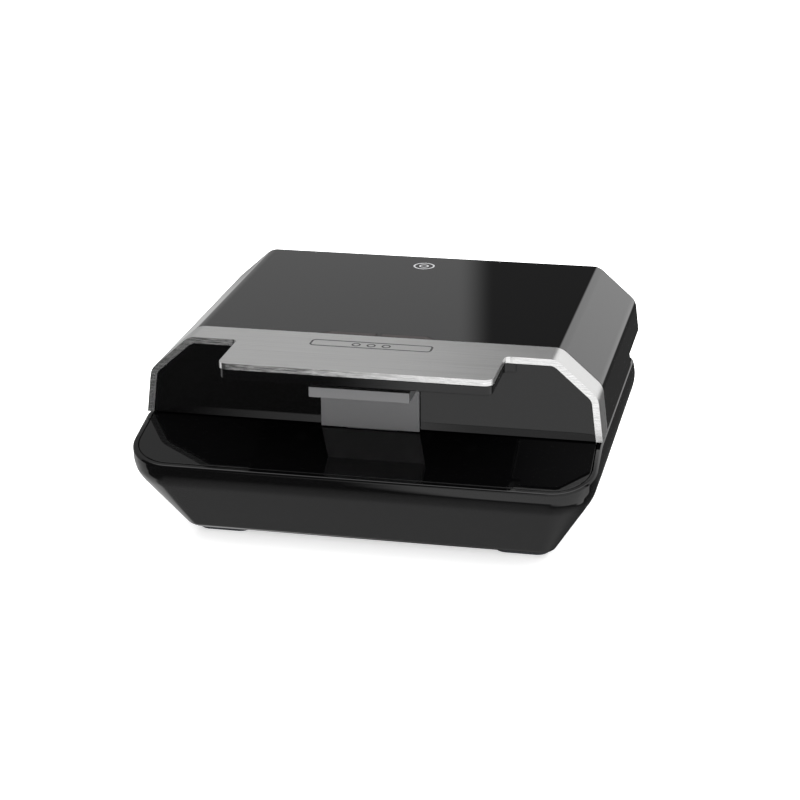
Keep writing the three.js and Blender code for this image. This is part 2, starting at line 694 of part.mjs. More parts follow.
function makeLidCover() {
  const front = BAND_REAR_Y + GAP;
  const outer = prism("y", lidOutline(0, PARTING_Z), front, LID_REAR_Y);
  const inner = prism("y", lidOutline(WALL, PARTING_Z - 5), front - 5, LID_REAR_Y - WALL);
  const step = box(-140, 140, REAR_STEP_Y, LID_REAR_Y + 5, 50, REAR_STEP_Z);
  const pockets = [-1, 1].map((side) => prism("z", lensOutline(side, GAP), 100, 130));
  add("lid_cover", cut(outer, inner, step, ...pockets), GLOSS_BLACK);
}

// The handle's outline from above: a rounded tab, with a small fillet where it meets the band.
function handleOutline(rear, inset = 0) {
  const side = HANDLE_HALF_WIDTH - inset;
  const front = HANDLE_FRONT_Y + inset;
  const fillet = 2.5;
  const corners = [
    [-side, front],
    [side, front],
    [side, LID_FRONT_Y],
    [side + 8, LID_FRONT_Y],
    [side + 8, rear],
    [-side - 8, rear],
    [-side - 8, LID_FRONT_Y],
    [-side, LID_FRONT_Y],
  ];
  const bend = HANDLE_CORNER_RADIUS;
  return rounded(corners, [bend, bend, fillet, 0, 0, 0, 0, fillet], 4);
}

function makeBand() {
  const outer = prism("y", lidOutline(0, PARTING_Z), LID_FRONT_Y, BAND_REAR_Y);
  const inside = lidOutline(BAND_THICKNESS, PARTING_Z - 5, BAND_INNER_RADIUS);
  const inner = prism("y", inside, LID_FRONT_Y - 5, BAND_REAR_Y + 5);
  const tab = prism("z", handleOutline(LID_FRONT_Y + 6), LID_TOP_Z - HANDLE_STEEL, LID_TOP_Z);
  add("steel_band", union(cut(outer, inner), tab), BRUSHED_STEEL);
}

function makeHandleGrip() {
  const top = LID_TOP_Z - HANDLE_STEEL - GAP;
  const outline = rounded(
    [
      [-HANDLE_HALF_WIDTH + 0.4, HANDLE_FRONT_Y + 0.4],
      [HANDLE_HALF_WIDTH - 0.4, HANDLE_FRONT_Y + 0.4],
      [HANDLE_HALF_WIDTH - 0.4, FRONT_PANEL_Y - GAP],
      [-HANDLE_HALF_WIDTH + 0.4, FRONT_PANEL_Y - GAP],
    ],
    [HANDLE_CORNER_RADIUS, HANDLE_CORNER_RADIUS, 0, 0],
    4,
  );
  const slab = prism("z", outline, top - GRIP_THICKNESS, top);
  // The band is thicker than the tab, so the grip is relieved where it runs under the band.
  const relief = box(-90, 90, LID_FRONT_Y - GAP, FRONT_PANEL_Y + 1, LID_TOP_Z - BAND_THICKNESS - GAP, 120);
  const screws = [-50, 50];
  const holes = screws.map((x) => post(x, -87, top - GRIP_THICKNESS - 1, top + 1, 2.1, 10));
  const sinks = screws.map((x) => post(x, -87, top - GRIP_THICKNESS - 1, top - 2.6, 4, 14));
  add("handle_grip", cut(slab, relief, ...holes, ...sinks), GLOSS_BLACK);
  screws.forEach((x, i) => {
    const headTop = top - 2.9;
    const head = post(x, -87, headTop - 1.8, headTop, SCREW_HEAD_RADIUS, 14);
    const shank = post(x, -87, headTop - 1, top, SCREW_RADIUS, 10);
    add(`handle_screw_${i + 1}`, union(head, shank), BRIGHT_STEEL);
  });
}

function makeFrontPanel() {
  const rear = FRONT_PANEL_Y + FRONT_PANEL_THICKNESS;
  const outline = lidOutline(BAND_THICKNESS + GAP, PARTING_Z, BAND_INNER_RADIUS - GAP);
  const face = prism("y", outline, FRONT_PANEL_Y, rear);
  const window = box(-25.5, 25.5, FRONT_PANEL_Y - 1, rear + 1, 91.5, 102);
  const half = STEM_HALF_WIDTH + 1.5;
  const stemSlot = box(-half, half, FRONT_PANEL_Y - 1, rear + 1, PARTING_Z - 1, 92);
  const ears = [-1, 1].map((side) => {
    const x = side * 28;
    return box(x - 1.5, x + 1.5, rear - 0.5, LATCH_PIN_Y + 4, LATCH_PIN_Z - 5, LATCH_PIN_Z + 5);
  });
  const pinHole = rodX(-40, 40, LATCH_PIN_Y, LATCH_PIN_Z, LATCH_PIN_RADIUS + 0.05, 16);
  add("lid_front_panel", cut(union(face, ...ears), window, stemSlot, pinHole), GLOSS_BLACK);
}

const LINER_SCREWS = [
  [-119, -50],
  [119, -50],
  [-119, 48],
  [119, 48],
];

// The lid's inner frame: a floor across the lid with a deeper collar round the upper plate.
function makeLidLiner() {
  const front = FRONT_PANEL_Y + FRONT_PANEL_THICKNESS + GAP;
  const side = 125.6;
  const floorTop = REAR_STEP_Z + GAP + 2;
  const floor = box(-side, side, front, LID_REAR_Y - WALL - GAP, REAR_STEP_Z + GAP, floorTop);
  const apron = box(-side, side, front, REAR_STEP_Y - 3, PARTING_Z + 0.4, REAR_STEP_Z + 1);
  const collar = box(-115, 115, front, 86, PARTING_Z + 0.4, REAR_STEP_Z + 1);
  const side2 = prism("y", lidOutline(WALL + GAP, PARTING_Z - 5), front - 1, BAND_REAR_Y + 90);
  const rear2 = prism("y", lidOutline(WALL + GAP, PARTING_Z - 5), BAND_REAR_Y + 80, LID_REAR_Y);
  const bandSide = box(-140, 140, front - 1, BAND_REAR_Y + 1, 50, 90);
  const insideBand = prism("y", lidOutline(BAND_THICKNESS + GAP, PARTING_Z - 5), front - 1, BAND_REAR_Y + 1);
  const hole = box(
    -PLATE_HALF_WIDTH - 0.6,
    PLATE_HALF_WIDTH + 0.6,
    PLATE_CENTRE_Y - PLATE_HALF_DEPTH - 0.6,
    PLATE_CENTRE_Y + PLATE_HALF_DEPTH + 0.6,
    50,
    90,
  );
  const hookSlot = box(-STEM_HALF_WIDTH - 2, STEM_HALF_WIDTH + 2, front - 1, -53, 50, 90);
  const underFloor = (x0, x1, y0, y1) => box(x0, x1, y0, y1, PARTING_Z + 3, REAR_STEP_Z + GAP);
  const hollows = [underFloor(112, 122.6, -44, 40), underFloor(-122.6, -112, -44, 40)];
  const screwHoles = LINER_SCREWS.map(([x, y]) => post(x, y, 60, 90, 2.1, 10));
  const sinks = LINER_SCREWS.map(([x, y]) => post(x, y, 60, PARTING_Z + 2.8, 4, 14));
  const whole = union(floor, apron, collar).intersect(union(side2, rear2));
  const trimmed = cut(whole, cut(bandSide, insideBand), hole, hookSlot, ...screwHoles, ...sinks);
  // The side rails are hollow from the back, as a moulding would be.
  add("lid_liner", cut(trimmed, ...hollows.map((h) => h.translate([0, 0, 4]))), MATT_BLACK);
  LINER_SCREWS.forEach(([x, y], i) => {
    const seat = PARTING_Z + 2.5;
    const head = post(x, y, seat - 1.8, seat, SCREW_HEAD_RADIUS, 14);
    const shank = post(x, y, seat - 1, REAR_STEP_Z + 6, SCREW_RADIUS, 10);
    add(`liner_screw_${i + 1}`, union(head, shank), BRIGHT_STEEL);
  });
}

function makeIndicators() {
  for (const [name, side] of [["left", -1], ["right", 1]]) {
    add(`indicator_lens_${name}`, prism("z", lensOutline(side, 0), LID_TOP_Z - 5.5, LID_TOP_Z), SMOKED_LENS);
    const middle = side * 16;
    const y = BAND_REAR_Y + 3;
    add(`indicator_lamp_${name}`, rodX(middle - 7, middle + 7, y, LID_TOP_Z - 9.5, 2.5, 12), LAMP_GLASS);
  }
  const boardTop = LID_TOP_Z - 12.3;
  add("lamp_board", box(-36, 36, BAND_REAR_Y - 6, BAND_REAR_Y + 12, boardTop - 1.6, boardTop), BOARD);
}

// ---- Latch --------------------------------------------------------------------------------------
function makeLatch() {
  const plateRear = FRONT_PANEL_Y - 2 * GAP;
  const plate = box(
    -LATCH_HALF_WIDTH,
    LATCH_HALF_WIDTH,
    LATCH_FRONT_Y,
    plateRear,
    DECK_Z + GAP,
    LATCH_BAR_TOP_Z,
  );
  const shelf = box(
    -LATCH_HALF_WIDTH,
    LATCH_HALF_WIDTH,
    LATCH_TIP_Y,
    plateRear,
    LATCH_BAR_BOTTOM_Z,
    LATCH_BAR_TOP_Z,
  );
  const neck = box(-24, 24, LATCH_FRONT_Y, LATCH_PIN_Y, LATCH_PIN_Z - 2.8, LATCH_PIN_Z + 2.8);
  const hub = rodX(-24, 24, LATCH_PIN_Y, LATCH_PIN_Z, 3.4, 20);
  const stem = box(
    -STEM_HALF_WIDTH,
    STEM_HALF_WIDTH,
    STEM_FRONT_Y,
    STEM_REAR_Y,
    HOOK_BOTTOM_Z,
    LATCH_PIN_Z,
  );
  const hook = prism(
    "x",
    [
      [STEM_FRONT_Y, HOOK_BOTTOM_Z],
      [STEM_REAR_Y, HOOK_BOTTOM_Z],
      [HOOK_TIP_Y, HOOK_BOTTOM_Z + 1.6],
      [HOOK_TIP_Y, HOOK_BOTTOM_Z + 3.2],
      [STEM_FRONT_Y, HOOK_BOTTOM_Z + 3.2],
    ],
    -STEM_HALF_WIDTH,
    STEM_HALF_WIDTH,
  );
  const springGap = box(-7, 7, LATCH_PIN_Y - 4.3, LATCH_PIN_Y + 6, LATCH_PIN_Z - 4.5, LATCH_PIN_Z + 4.5);
  const pinHole = rodX(-30, 30, LATCH_PIN_Y, LATCH_PIN_Z, LATCH_PIN_RADIUS + 0.05, 16);
  add("latch", cut(union(plate, shelf, neck, hub, stem, hook), springGap, pinHole), GREY_PLASTIC);
  add("latch_pin", rodX(-31.5, 31.5, LATCH_PIN_Y, LATCH_PIN_Z, LATCH_PIN_RADIUS, 16), BRIGHT_STEEL);
  add("latch_spring", latchSpring(), BRIGHT_STEEL);
  const keeperTop = DECK_Z - DECK_THICKNESS - GAP;
  const lip = box(-22, 22, HOOK_TIP_Y + 0.4, HOOK_TIP_Y + 3.1, keeperTop - 1.5, keeperTop);
  add("latch_keeper", lip, BRIGHT_STEEL);
}

// A few turns of wire round the latch pin, with one leg up against the panel.
function latchSpring() {
  const coilRadius = 2.9;
  const turns = 4;
  const perTurn = 10;
  const points = [];
  for (let i = 0; i <= turns * perTurn; i++) {
    const angle = (2 * Math.PI * i) / perTurn;
    const x = -5 + (10 * i) / (turns * perTurn);
    points.push([x, LATCH_PIN_Y + coilRadius * Math.cos(angle), LATCH_PIN_Z + coilRadius * Math.sin(angle)]);
  }
  return bar(points, 0.55, turns * perTurn * 2, 6);
}

// ---- Hinges -------------------------------------------------------------------------------------
function makeHinges() {
  const outside = EAR_INSIDE + EAR_THICKNESS;
  for (const [name, side] of [["left", -1], ["right", 1]]) {
    const x = side * HINGE_X;
    const footRear = BASE_REAR_Y + 2.3;
    const foot = box(x - outside, x + outside, BASE_REAR_Y + GAP, footRear, HINGE_Z - 9, HINGE_Z + 1.4);
    const ears = [-1, 1].map((end) => {
      const inner = x + end * EAR_INSIDE;
      const outer = x + end * outside;
      const low = Math.min(inner, outer);
      const high = Math.max(inner, outer);
      const web = box(low, high, BASE_REAR_Y + 1, HINGE_Y, HINGE_Z - KNUCKLE_RADIUS, HINGE_Z + 1.4);
      return union(web, rodX(low, high, HINGE_Y, HINGE_Z, KNUCKLE_RADIUS, 20));
    });
    const bore = rodX(x - 30, x + 30, HINGE_Y, HINGE_Z, HINGE_PIN_RADIUS + HINGE_PIN_CLEARANCE, 20);
    add(`hinge_bracket_${name}`, cut(union(foot, ...ears), bore), MATT_BLACK);
    const knuckleHalf = EAR_INSIDE - GAP;
    const knuckle = rodX(x - knuckleHalf, x + knuckleHalf, HINGE_Y, HINGE_Z, KNUCKLE_RADIUS, 20);
    const web = box(x - knuckleHalf, x + knuckleHalf, HINGE_Y - 3, HINGE_Y + 3, HINGE_Z, REAR_STEP_Z - 1);
    const plate = box(x - 13, x + 13, HINGE_Y - 7, HINGE_Y + 11, REAR_STEP_Z - 2, REAR_STEP_Z);
    add(`hinge_arm_${name}`, cut(union(knuckle, web, plate), bore), BRIGHT_STEEL);
    add(`hinge_pin_${name}`, rodX(x - outside - 1, x + outside + 1, HINGE_Y, HINGE_Z, HINGE_PIN_RADIUS, 20),
      BRIGHT_STEEL);
  }
}

// ---- Wiring -------------------------------------------------------------------------------------
// Leads from the terminal block to the two ends of the lower element, and the lid's own lead.
function makeLeads() {
  const elementZ = LOWER_LAND_Z + elementLevel();
  const endY = PLATE_CENTRE_Y + REFLECTOR_HALF_DEPTH + 6.5;
  const blockZ = BASE_BOTTOM_Z + 4 + GAP + 8;
  add("live_lead", bar([
    [39, 62, blockZ],
    [39, 54, blockZ],
    [48, 50, 20],
    [62, 60, 30],
    [72, endY - 3, 40],
    [MOULD_PITCH_X, endY - 3, elementZ - ELEMENT_RADIUS - 1.6],
  ], 1.1, 24, 6), WIRE_SLEEVE);
  add("neutral_lead", bar([
    [31, 62, blockZ],
    [30, 54, blockZ],
    [10, 50, 18],
    [-40, 52, 26],
    [-69, 72, 37],
    [-MOULD_PITCH_X, endY - 3, elementZ - ELEMENT_RADIUS - 1.6],
  ], 1.1, 28, 6), WIRE_SLEEVE);
  const upperZ = UPPER_LAND_Z - elementLevel();
  add("lid_lead", bar([
    [MOULD_PITCH_X - 3, endY - 1, upperZ + ELEMENT_RADIUS + 1.6],
    [60, endY, 97],
    [30, 70, 101],
    [8, 20, 104],
    [0, -20, 104.5],
    [0, BAND_REAR_Y + 8, 103.6],
  ], 1.1, 28, 6), WIRE_SLEEVE);
}

makeBaseHousing();
makeBaseDeck();
makeBottomCover();
makeFeet();
makeCordBush();
makeTerminalBlock();
makeHeatedPlates();
makeControls();
makeLidCover();
makeBand();
makeHandleGrip();
makeFrontPanel();
makeLidLiner();
makeIndicators();
makeLatch();
makeHinges();
makeLeads();

export default root;
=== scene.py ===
import math

import bmesh
import bpy
from mathutils import Matrix, Vector


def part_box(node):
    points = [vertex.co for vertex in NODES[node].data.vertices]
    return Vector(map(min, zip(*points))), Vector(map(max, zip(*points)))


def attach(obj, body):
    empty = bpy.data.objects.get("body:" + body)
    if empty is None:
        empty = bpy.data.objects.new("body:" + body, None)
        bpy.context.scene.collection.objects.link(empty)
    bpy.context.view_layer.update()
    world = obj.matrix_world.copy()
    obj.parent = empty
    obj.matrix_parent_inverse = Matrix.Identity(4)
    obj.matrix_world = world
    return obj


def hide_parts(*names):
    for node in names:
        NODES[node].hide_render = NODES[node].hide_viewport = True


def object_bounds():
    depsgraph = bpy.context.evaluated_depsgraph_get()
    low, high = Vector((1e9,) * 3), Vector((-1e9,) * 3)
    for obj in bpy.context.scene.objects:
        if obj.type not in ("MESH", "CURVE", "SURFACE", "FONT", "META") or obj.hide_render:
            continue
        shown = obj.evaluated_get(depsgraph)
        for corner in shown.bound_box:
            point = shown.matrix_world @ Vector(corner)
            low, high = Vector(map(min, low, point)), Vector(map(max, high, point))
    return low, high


# The looks of a countertop donut maker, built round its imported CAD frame. Shapes are made in
# millimetres, in the frame's own axes (+X right, +Y back, +Z up), and scaled to metres when placed.

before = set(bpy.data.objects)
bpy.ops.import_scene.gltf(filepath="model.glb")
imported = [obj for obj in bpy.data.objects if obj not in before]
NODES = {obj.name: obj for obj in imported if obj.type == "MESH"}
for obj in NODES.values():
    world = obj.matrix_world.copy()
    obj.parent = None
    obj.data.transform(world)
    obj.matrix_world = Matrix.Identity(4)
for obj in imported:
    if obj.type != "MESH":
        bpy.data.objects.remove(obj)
CAD_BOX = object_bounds()
MM = 0.001
FINE = 12  # segments in a visible quarter turn
SOFT_EDGE = math.radians(32)  # an edge sharper than this is rounded
FLAT_ANGLE = math.radians(0.3)  # faces closer than this to one plane become one face
WELD_DISTANCE = 0.002  # points closer than this are one point
THROUGH = 5.0  # how far a cutting solid runs past what it cuts


def box_mm(node):
    """A CAD node's lowest and highest corners in millimetres."""
    low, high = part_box(node)
    return low / MM, high / MM


# ---- Driving sizes, from the frame --------------------------------------------------------------
BAND_LOW, BAND_HIGH = box_mm("steel_band")
COVER_LOW, COVER_HIGH = box_mm("lid_cover")
GRIP_LOW, GRIP_HIGH = box_mm("handle_grip")
HOUSING_LOW, HOUSING_HIGH = box_mm("base_housing")
LID_HALF_WIDTH = BAND_HIGH.x
LID_BOTTOM = BAND_LOW.z
LID_TOP = BAND_HIGH.z
LID_REAR = COVER_HIGH.y
BAND_REAR = BAND_HIGH.y
LID_FRONT = box_mm("lid_front_panel")[0].y - 1.0
HANDLE_FRONT = BAND_LOW.y
DECK_TOP = HOUSING_HIGH.z
BASE_BOTTOM = HOUSING_LOW.z
BASE_FRONT = HOUSING_LOW.y
BASE_HALF_WIDTH = HOUSING_HIGH.x
BASE_REAR = HOUSING_HIGH.y

# Sizes that the frame's boxes don't give.
LID_SIDE_HEIGHT = 25.7
LID_SIDE_LEAN = 3.1
LID_TOP_INSET = 26.3
LID_CORNER_RADIUS = 10.0
WALL = 2.5
BAND_THICKNESS = 3.8
REAR_STEP_Y = 64.0
REAR_STEP_Z = 75.0
HANDLE_HALF_WIDTH = 75.5
HANDLE_CORNER = 5.0
HANDLE_ROOT_FILLET = 3.0
HANDLE_ROOT_FLARE = 8.0
HANDLE_STEEL = 3.5
LID_MARK = Vector((-1.9, 91.3))  # the middle of the ring ornament on the lid
BADGE = Vector((0, -63))  # the middle of the badge on the band
SKIN_INSET = 0.05  # the top skins stay this far inside the CAD, so that the ornaments stand proud
LEDGE_SLOPE = math.tan(math.radians(15))
RIM_WIDTH = 3.0
GAP = 0.3  # between neighbouring pieces
BEYOND = 140.0  # further out than any side of the object


# ---- Outlines -----------------------------------------------------------------------------------
def rounded(corners, radii, segments=FINE):
    """A closed outline of (u, v) points, with each corner rounded by its own radius."""
    points = []
    count = len(corners)
    for i, corner in enumerate(corners):
        radius = radii[i] if isinstance(radii, (list, tuple)) else radii
        here = Vector(corner)
        if radius <= 0:
            points.append(tuple(here))
            continue
        before = (Vector(corners[i - 1]) - here).normalized()
        after = (Vector(corners[(i + 1) % count]) - here).normalized()
        half = before.angle(after) / 2
        start = here + before * (radius / math.tan(half))
        centre = here + (before + after).normalized() * (radius / math.sin(half))
        spoke = start - centre
        sweep = math.pi - 2 * half
        if spoke.cross(here + after * (radius / math.tan(half)) - centre) < 0:
            sweep = -sweep
        for k in range(segments + 1):
            angle = sweep * k / segments
            turned = Vector((
                spoke.x * math.cos(angle) - spoke.y * math.sin(angle),
                spoke.x * math.sin(angle) + spoke.y * math.cos(angle),
            ))
            points.append(tuple(centre + turned))
    return points


def rectangle(x0, x1, y0, y1, radius):
    return rounded([(x0, y0), (x1, y0), (x1, y1), (x0, y1)], radius)


def lid_outline(inset, bottom, radius=LID_CORNER_RADIUS):
    """The lid seen from the front, in (x, z), moved in by inset and open downwards to bottom."""
    side_tan = LID_SIDE_LEAN / LID_SIDE_HEIGHT
    chamfer_run = LID_TOP_INSET - LID_SIDE_LEAN
    chamfer_rise = LID_TOP - LID_BOTTOM - LID_SIDE_HEIGHT
    chamfer_tan = chamfer_run / chamfer_rise
    knee_height = LID_BOTTOM + LID_SIDE_HEIGHT

    def side_at(z):
        return LID_HALF_WIDTH - (z - LID_BOTTOM) * side_tan - inset * math.hypot(1, side_tan)

    def chamfer_at(z):
        outer = LID_HALF_WIDTH - LID_SIDE_LEAN - (z - knee_height) * chamfer_tan
        return outer - inset * math.hypot(1, chamfer_tan)

    top = LID_TOP - inset
    knee_z = top - (side_at(top) - chamfer_at(top)) / (chamfer_tan - side_tan)
    knee = side_at(knee_z)
    shoulder = chamfer_at(top)
    corners = [
        (side_at(bottom), bottom),
        (knee, knee_z),
        (shoulder, top),
        (-shoulder, top),
        (-knee, knee_z),
        (-side_at(bottom), bottom),
    ]
    return rounded(corners, [0, radius, radius, radius, radius, 0])


def handle_outline(rear, inset=0.0):
    """The handle seen from above: a rounded tab, filleted where it meets the wider root under the band."""
    side = HANDLE_HALF_WIDTH - inset
    front = HANDLE_FRONT + inset
    corners = [
        (-side, front),
        (side, front),
        (side, LID_FRONT),
        (side + HANDLE_ROOT_FLARE, LID_FRONT),
        (side + HANDLE_ROOT_FLARE, rear),
        (-side - HANDLE_ROOT_FLARE, rear),
        (-side - HANDLE_ROOT_FLARE, LID_FRONT),
        (-side, LID_FRONT),
    ]
    radii = [HANDLE_CORNER, HANDLE_CORNER, HANDLE_ROOT_FILLET, 0, 0, 0, 0, HANDLE_ROOT_FILLET]
    return rounded(corners, radii, 8)


# ---- Meshes, in millimetres ---------------------------------------------------------------------
def mesh_object(name, points, faces):
    mesh = bpy.data.meshes.new(name)
    mesh.from_pydata([tuple(p) for p in points], [], faces)
    made = bpy.data.objects.new(name, mesh)
    bpy.context.scene.collection.objects.link(made)
    tidy = bmesh.new()
    tidy.from_mesh(mesh)
    bmesh.ops.recalc_face_normals(tidy, faces=tidy.faces)
    tidy.to_mesh(mesh)
    tidy.free()
    return made


def skin(name, rings, closed=False):
    """A solid skinned over rings of the same number of points, capped unless it closes on itself."""
    count = len(rings[0])
    points = [p for ring in rings for p in ring]
    faces = []
    for level in range(len(rings) if closed else len(rings) - 1):
        here = level * count
        above = ((level + 1) % len(rings)) * count
        for i in range(count):
            j = (i + 1) % count
            faces.append((here + i, here + j, above + j, above + i))
    if not closed:
        faces.append(tuple(range(count))[::-1])
        last = (len(rings) - 1) * count
        faces.append(tuple(last + i for i in range(count)))
    return mesh_object(name, points, faces)


PLACES = {
    "y": lambda u, v, w: (u, w, v),
    "z": lambda u, v, w: (u, v, w),
}


def prism(name, axis, outline, low, high):
    """An outline in (x, z) extruded along y, or in (x, y) extruded along z."""
    place = PLACES[axis]
    return skin(name, [[place(u, v, w) for u, v in outline] for w in (low, high)])


def block(name, x0, x1, y0, y1, z0, z1):
    return prism(name, "z", [(x0, y0), (x1, y0), (x1, y1), (x0, y1)], z0, z1)


def lathe(name, profile, axis, centre, segments=48):
    """A profile of (radius, height) points turned about an axis; one that starts on it is capped."""
    place = PLACES[axis]
    centre = Vector(centre)
    points = []
    faces = []
    rows = []
    for radius, height in profile:
        if radius == 0:
            rows.append([len(points)] * segments)
            points.append(Vector(place(0, 0, height)) + centre)
            continue
        rows.append(list(range(len(points), len(points) + segments)))
        for k in range(segments):
            angle = 2 * math.pi * k / segments
            here = place(radius * math.cos(angle), radius * math.sin(angle), height)
            points.append(Vector(here) + centre)
    for lower, upper in zip(rows, rows[1:]):
        for k in range(segments):
            n = (k + 1) % segments
            face = [lower[k], lower[n], upper[n], upper[k]]
            faces.append(tuple(dict.fromkeys(face)))
    return mesh_object(name, points, faces)


def tube(name, path, radius, sides):
    """A round bar with flat ends along a list of points."""
    path = [Vector(p) for p in path]
    across = None
    rings = []
    for i, point in enumerate(path):
        along = (path[min(i + 1, len(path) - 1)] - path[max(i - 1, 0)]).normalized()
        if across is None:
            across = along.orthogonal().normalized()
        across = (across - along * across.dot(along)).normalized()
        other = along.cross(across)
        turn = [2 * math.pi * k / sides for k in range(sides)]
        rings.append([point + (across * math.cos(a) + other * math.sin(a)) * radius for a in turn])
    return skin(name, rings)


def apply_modifiers(target):
    bpy.context.view_layer.update()
    graph = bpy.context.evaluated_depsgraph_get()
    made = bpy.data.meshes.new_from_object(target.evaluated_get(graph))
    old = target.data
    target.modifiers.clear()
    target.data = made
    bpy.data.meshes.remove(old)
    return target


def combine(target, tools, operation):
    for tool in tools:
        step = target.modifiers.new("combine", "BOOLEAN")
        step.operation = operation
        step.solver = "EXACT"
        step.object = tool
    apply_modifiers(target)
    for tool in tools:
        bpy.data.objects.remove(tool)
    return target


def cut(target, *tools):
    return combine(target, tools, "DIFFERENCE")


def join(target, *tools):
    return combine(target, tools, "UNION")


def dissolve_flats(target):
    """Turns the triangles that a boolean leaves on a flat face back into one face."""
    edit = bmesh.new()
    edit.from_mesh(target.data)
    bmesh.ops.remove_doubles(edit, verts=edit.verts, dist=WELD_DISTANCE)
    bmesh.ops.dissolve_degenerate(edit, edges=edit.edges, dist=WELD_DISTANCE)
    bmesh.ops.dissolve_limit(edit, angle_limit=FLAT_ANGLE, verts=edit.verts, edges=edit.edges)
    edit.to_mesh(target.data)
    edit.free()


def soften(target, width, segments=3):
    """Rounds the sharp edges of a finished solid and sets its shading."""
    dissolve_flats(target)
    target.data.shade_smooth()
    if width > 0:
        bevel = target.modifiers.new("rounding", "BEVEL")
        bevel.width = width
        bevel.segments = segments
        bevel.limit_method = "ANGLE"
        bevel.angle_limit = SOFT_EDGE
        bevel.use_clamp_overlap = True
    add_shading(target)
    return apply_modifiers(target)


def add_shading(target):
    weights = target.modifiers.new("shading", "WEIGHTED_NORMAL")
    weights.mode = "FACE_AREA"
    weights.weight = 90
    weights.keep_sharp = True


def place(piece, body, slot, material, *nodes):
    """Scales a finished piece to metres, gives it its material and ties it to the frame."""
    piece.data.transform(Matrix.Scale(MM, 4))
    piece.data.materials.clear()
    piece.data.materials.append(material)
    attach(piece, body)
    if nodes:
        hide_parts(*nodes)
    return piece


# ---- Materials ----------------------------------------------------------------------------------
class Graph:
    """A material's node tree, with short calls for adding nodes to it."""

    def __init__(self, name, color, roughness, metallic=0.0):
        self.material = bpy.data.materials.new(name)
        self.material.use_nodes = True
        self.tree = self.material.node_tree
        self.shader = self.tree.nodes["Principled BSDF"]
        self.shader.inputs["Base Color"].default_value = (*color, 1)
        self.shader.inputs["Roughness"].default_value = roughness
        self.shader.inputs["Metallic"].default_value = metallic
        self.coordinates = self.tree.nodes.new("ShaderNodeTexCoord")

    def add(self, kind, inputs=None, **settings):
        made = self.tree.nodes.new(kind)
        for key, value in settings.items():
            setattr(made, key, value)
        for key, value in (inputs or {}).items():
            if isinstance(value, bpy.types.NodeSocket):
                self.tree.links.new(value, made.inputs[key])
            else:
                made.inputs[key].default_value = value
        return made

    def noise(self, scale, detail, roughness=0.5, stretch=(1, 1, 1)):
        """Noise on the piece's own coordinates, stretched along axes whose number is small."""
        where = self.add(
            "ShaderNodeMapping",
            {"Vector": self.coordinates.outputs["Object"], "Scale": stretch},
        )
        made = self.add(
            "ShaderNodeTexNoise",
            {
                "Vector": where.outputs["Vector"],
                "Scale": scale,
                "Detail": detail,
                "Roughness": roughness,
            },
        )
        return made.outputs["Fac"]

    def span(self, value, low, high, start=0.3, end=0.7):
        """Maps a value from start..end to low..high."""
        made = self.add(
            "ShaderNodeMapRange",
            {"Value": value, "From Min": start, "From Max": end, "To Min": low, "To Max": high},
        )
        return made.outputs["Result"]

    def math(self, operation, a, b=0.0):
        return self.add("ShaderNodeMath", {0: a, 1: b}, operation=operation).outputs["Value"]

    def blend(self, factor, first, second):
        """A colour between two colours or sockets, by a factor from a socket."""
        ends = [end if isinstance(end, bpy.types.NodeSocket) else (*end, 1) for end in (first, second)]
        made = self.add("ShaderNodeMix", {0: factor, 6: ends[0], 7: ends[1]}, data_type="RGBA")
        return made.outputs[2]

    def drive(self, socket, value):
        self.tree.links.new(value, self.shader.inputs[socket])

    def bump(self, height, distance, strength):
        """A bump of distance metres."""
        made = self.add(
            "ShaderNodeBump", {"Height": height, "Distance": distance, "Strength": strength}
        )
        self.drive("Normal", made.outputs["Normal"])


def gloss_black():
    g = Graph("polished_black_plastic", (0.0012, 0.0012, 0.0013), 0.02)
    g.drive("Roughness", g.span(g.noise(35, 5), 0.012, 0.03))
    g.bump(g.noise(90, 2), 0.000004, 0.15)
    return g.material


def matt_black():
    g = Graph("fine_textured_black_plastic", (0.014, 0.014, 0.0145), 0.5)
    speckle = g.noise(2600, 2, 0.6)
    g.drive("Base Color", g.blend(speckle, (0.011, 0.011, 0.0115), (0.02, 0.02, 0.0205)))
    g.drive("Roughness", g.span(g.noise(60, 4), 0.42, 0.56))
    g.bump(speckle, 0.00008, 0.5)
    return g.material


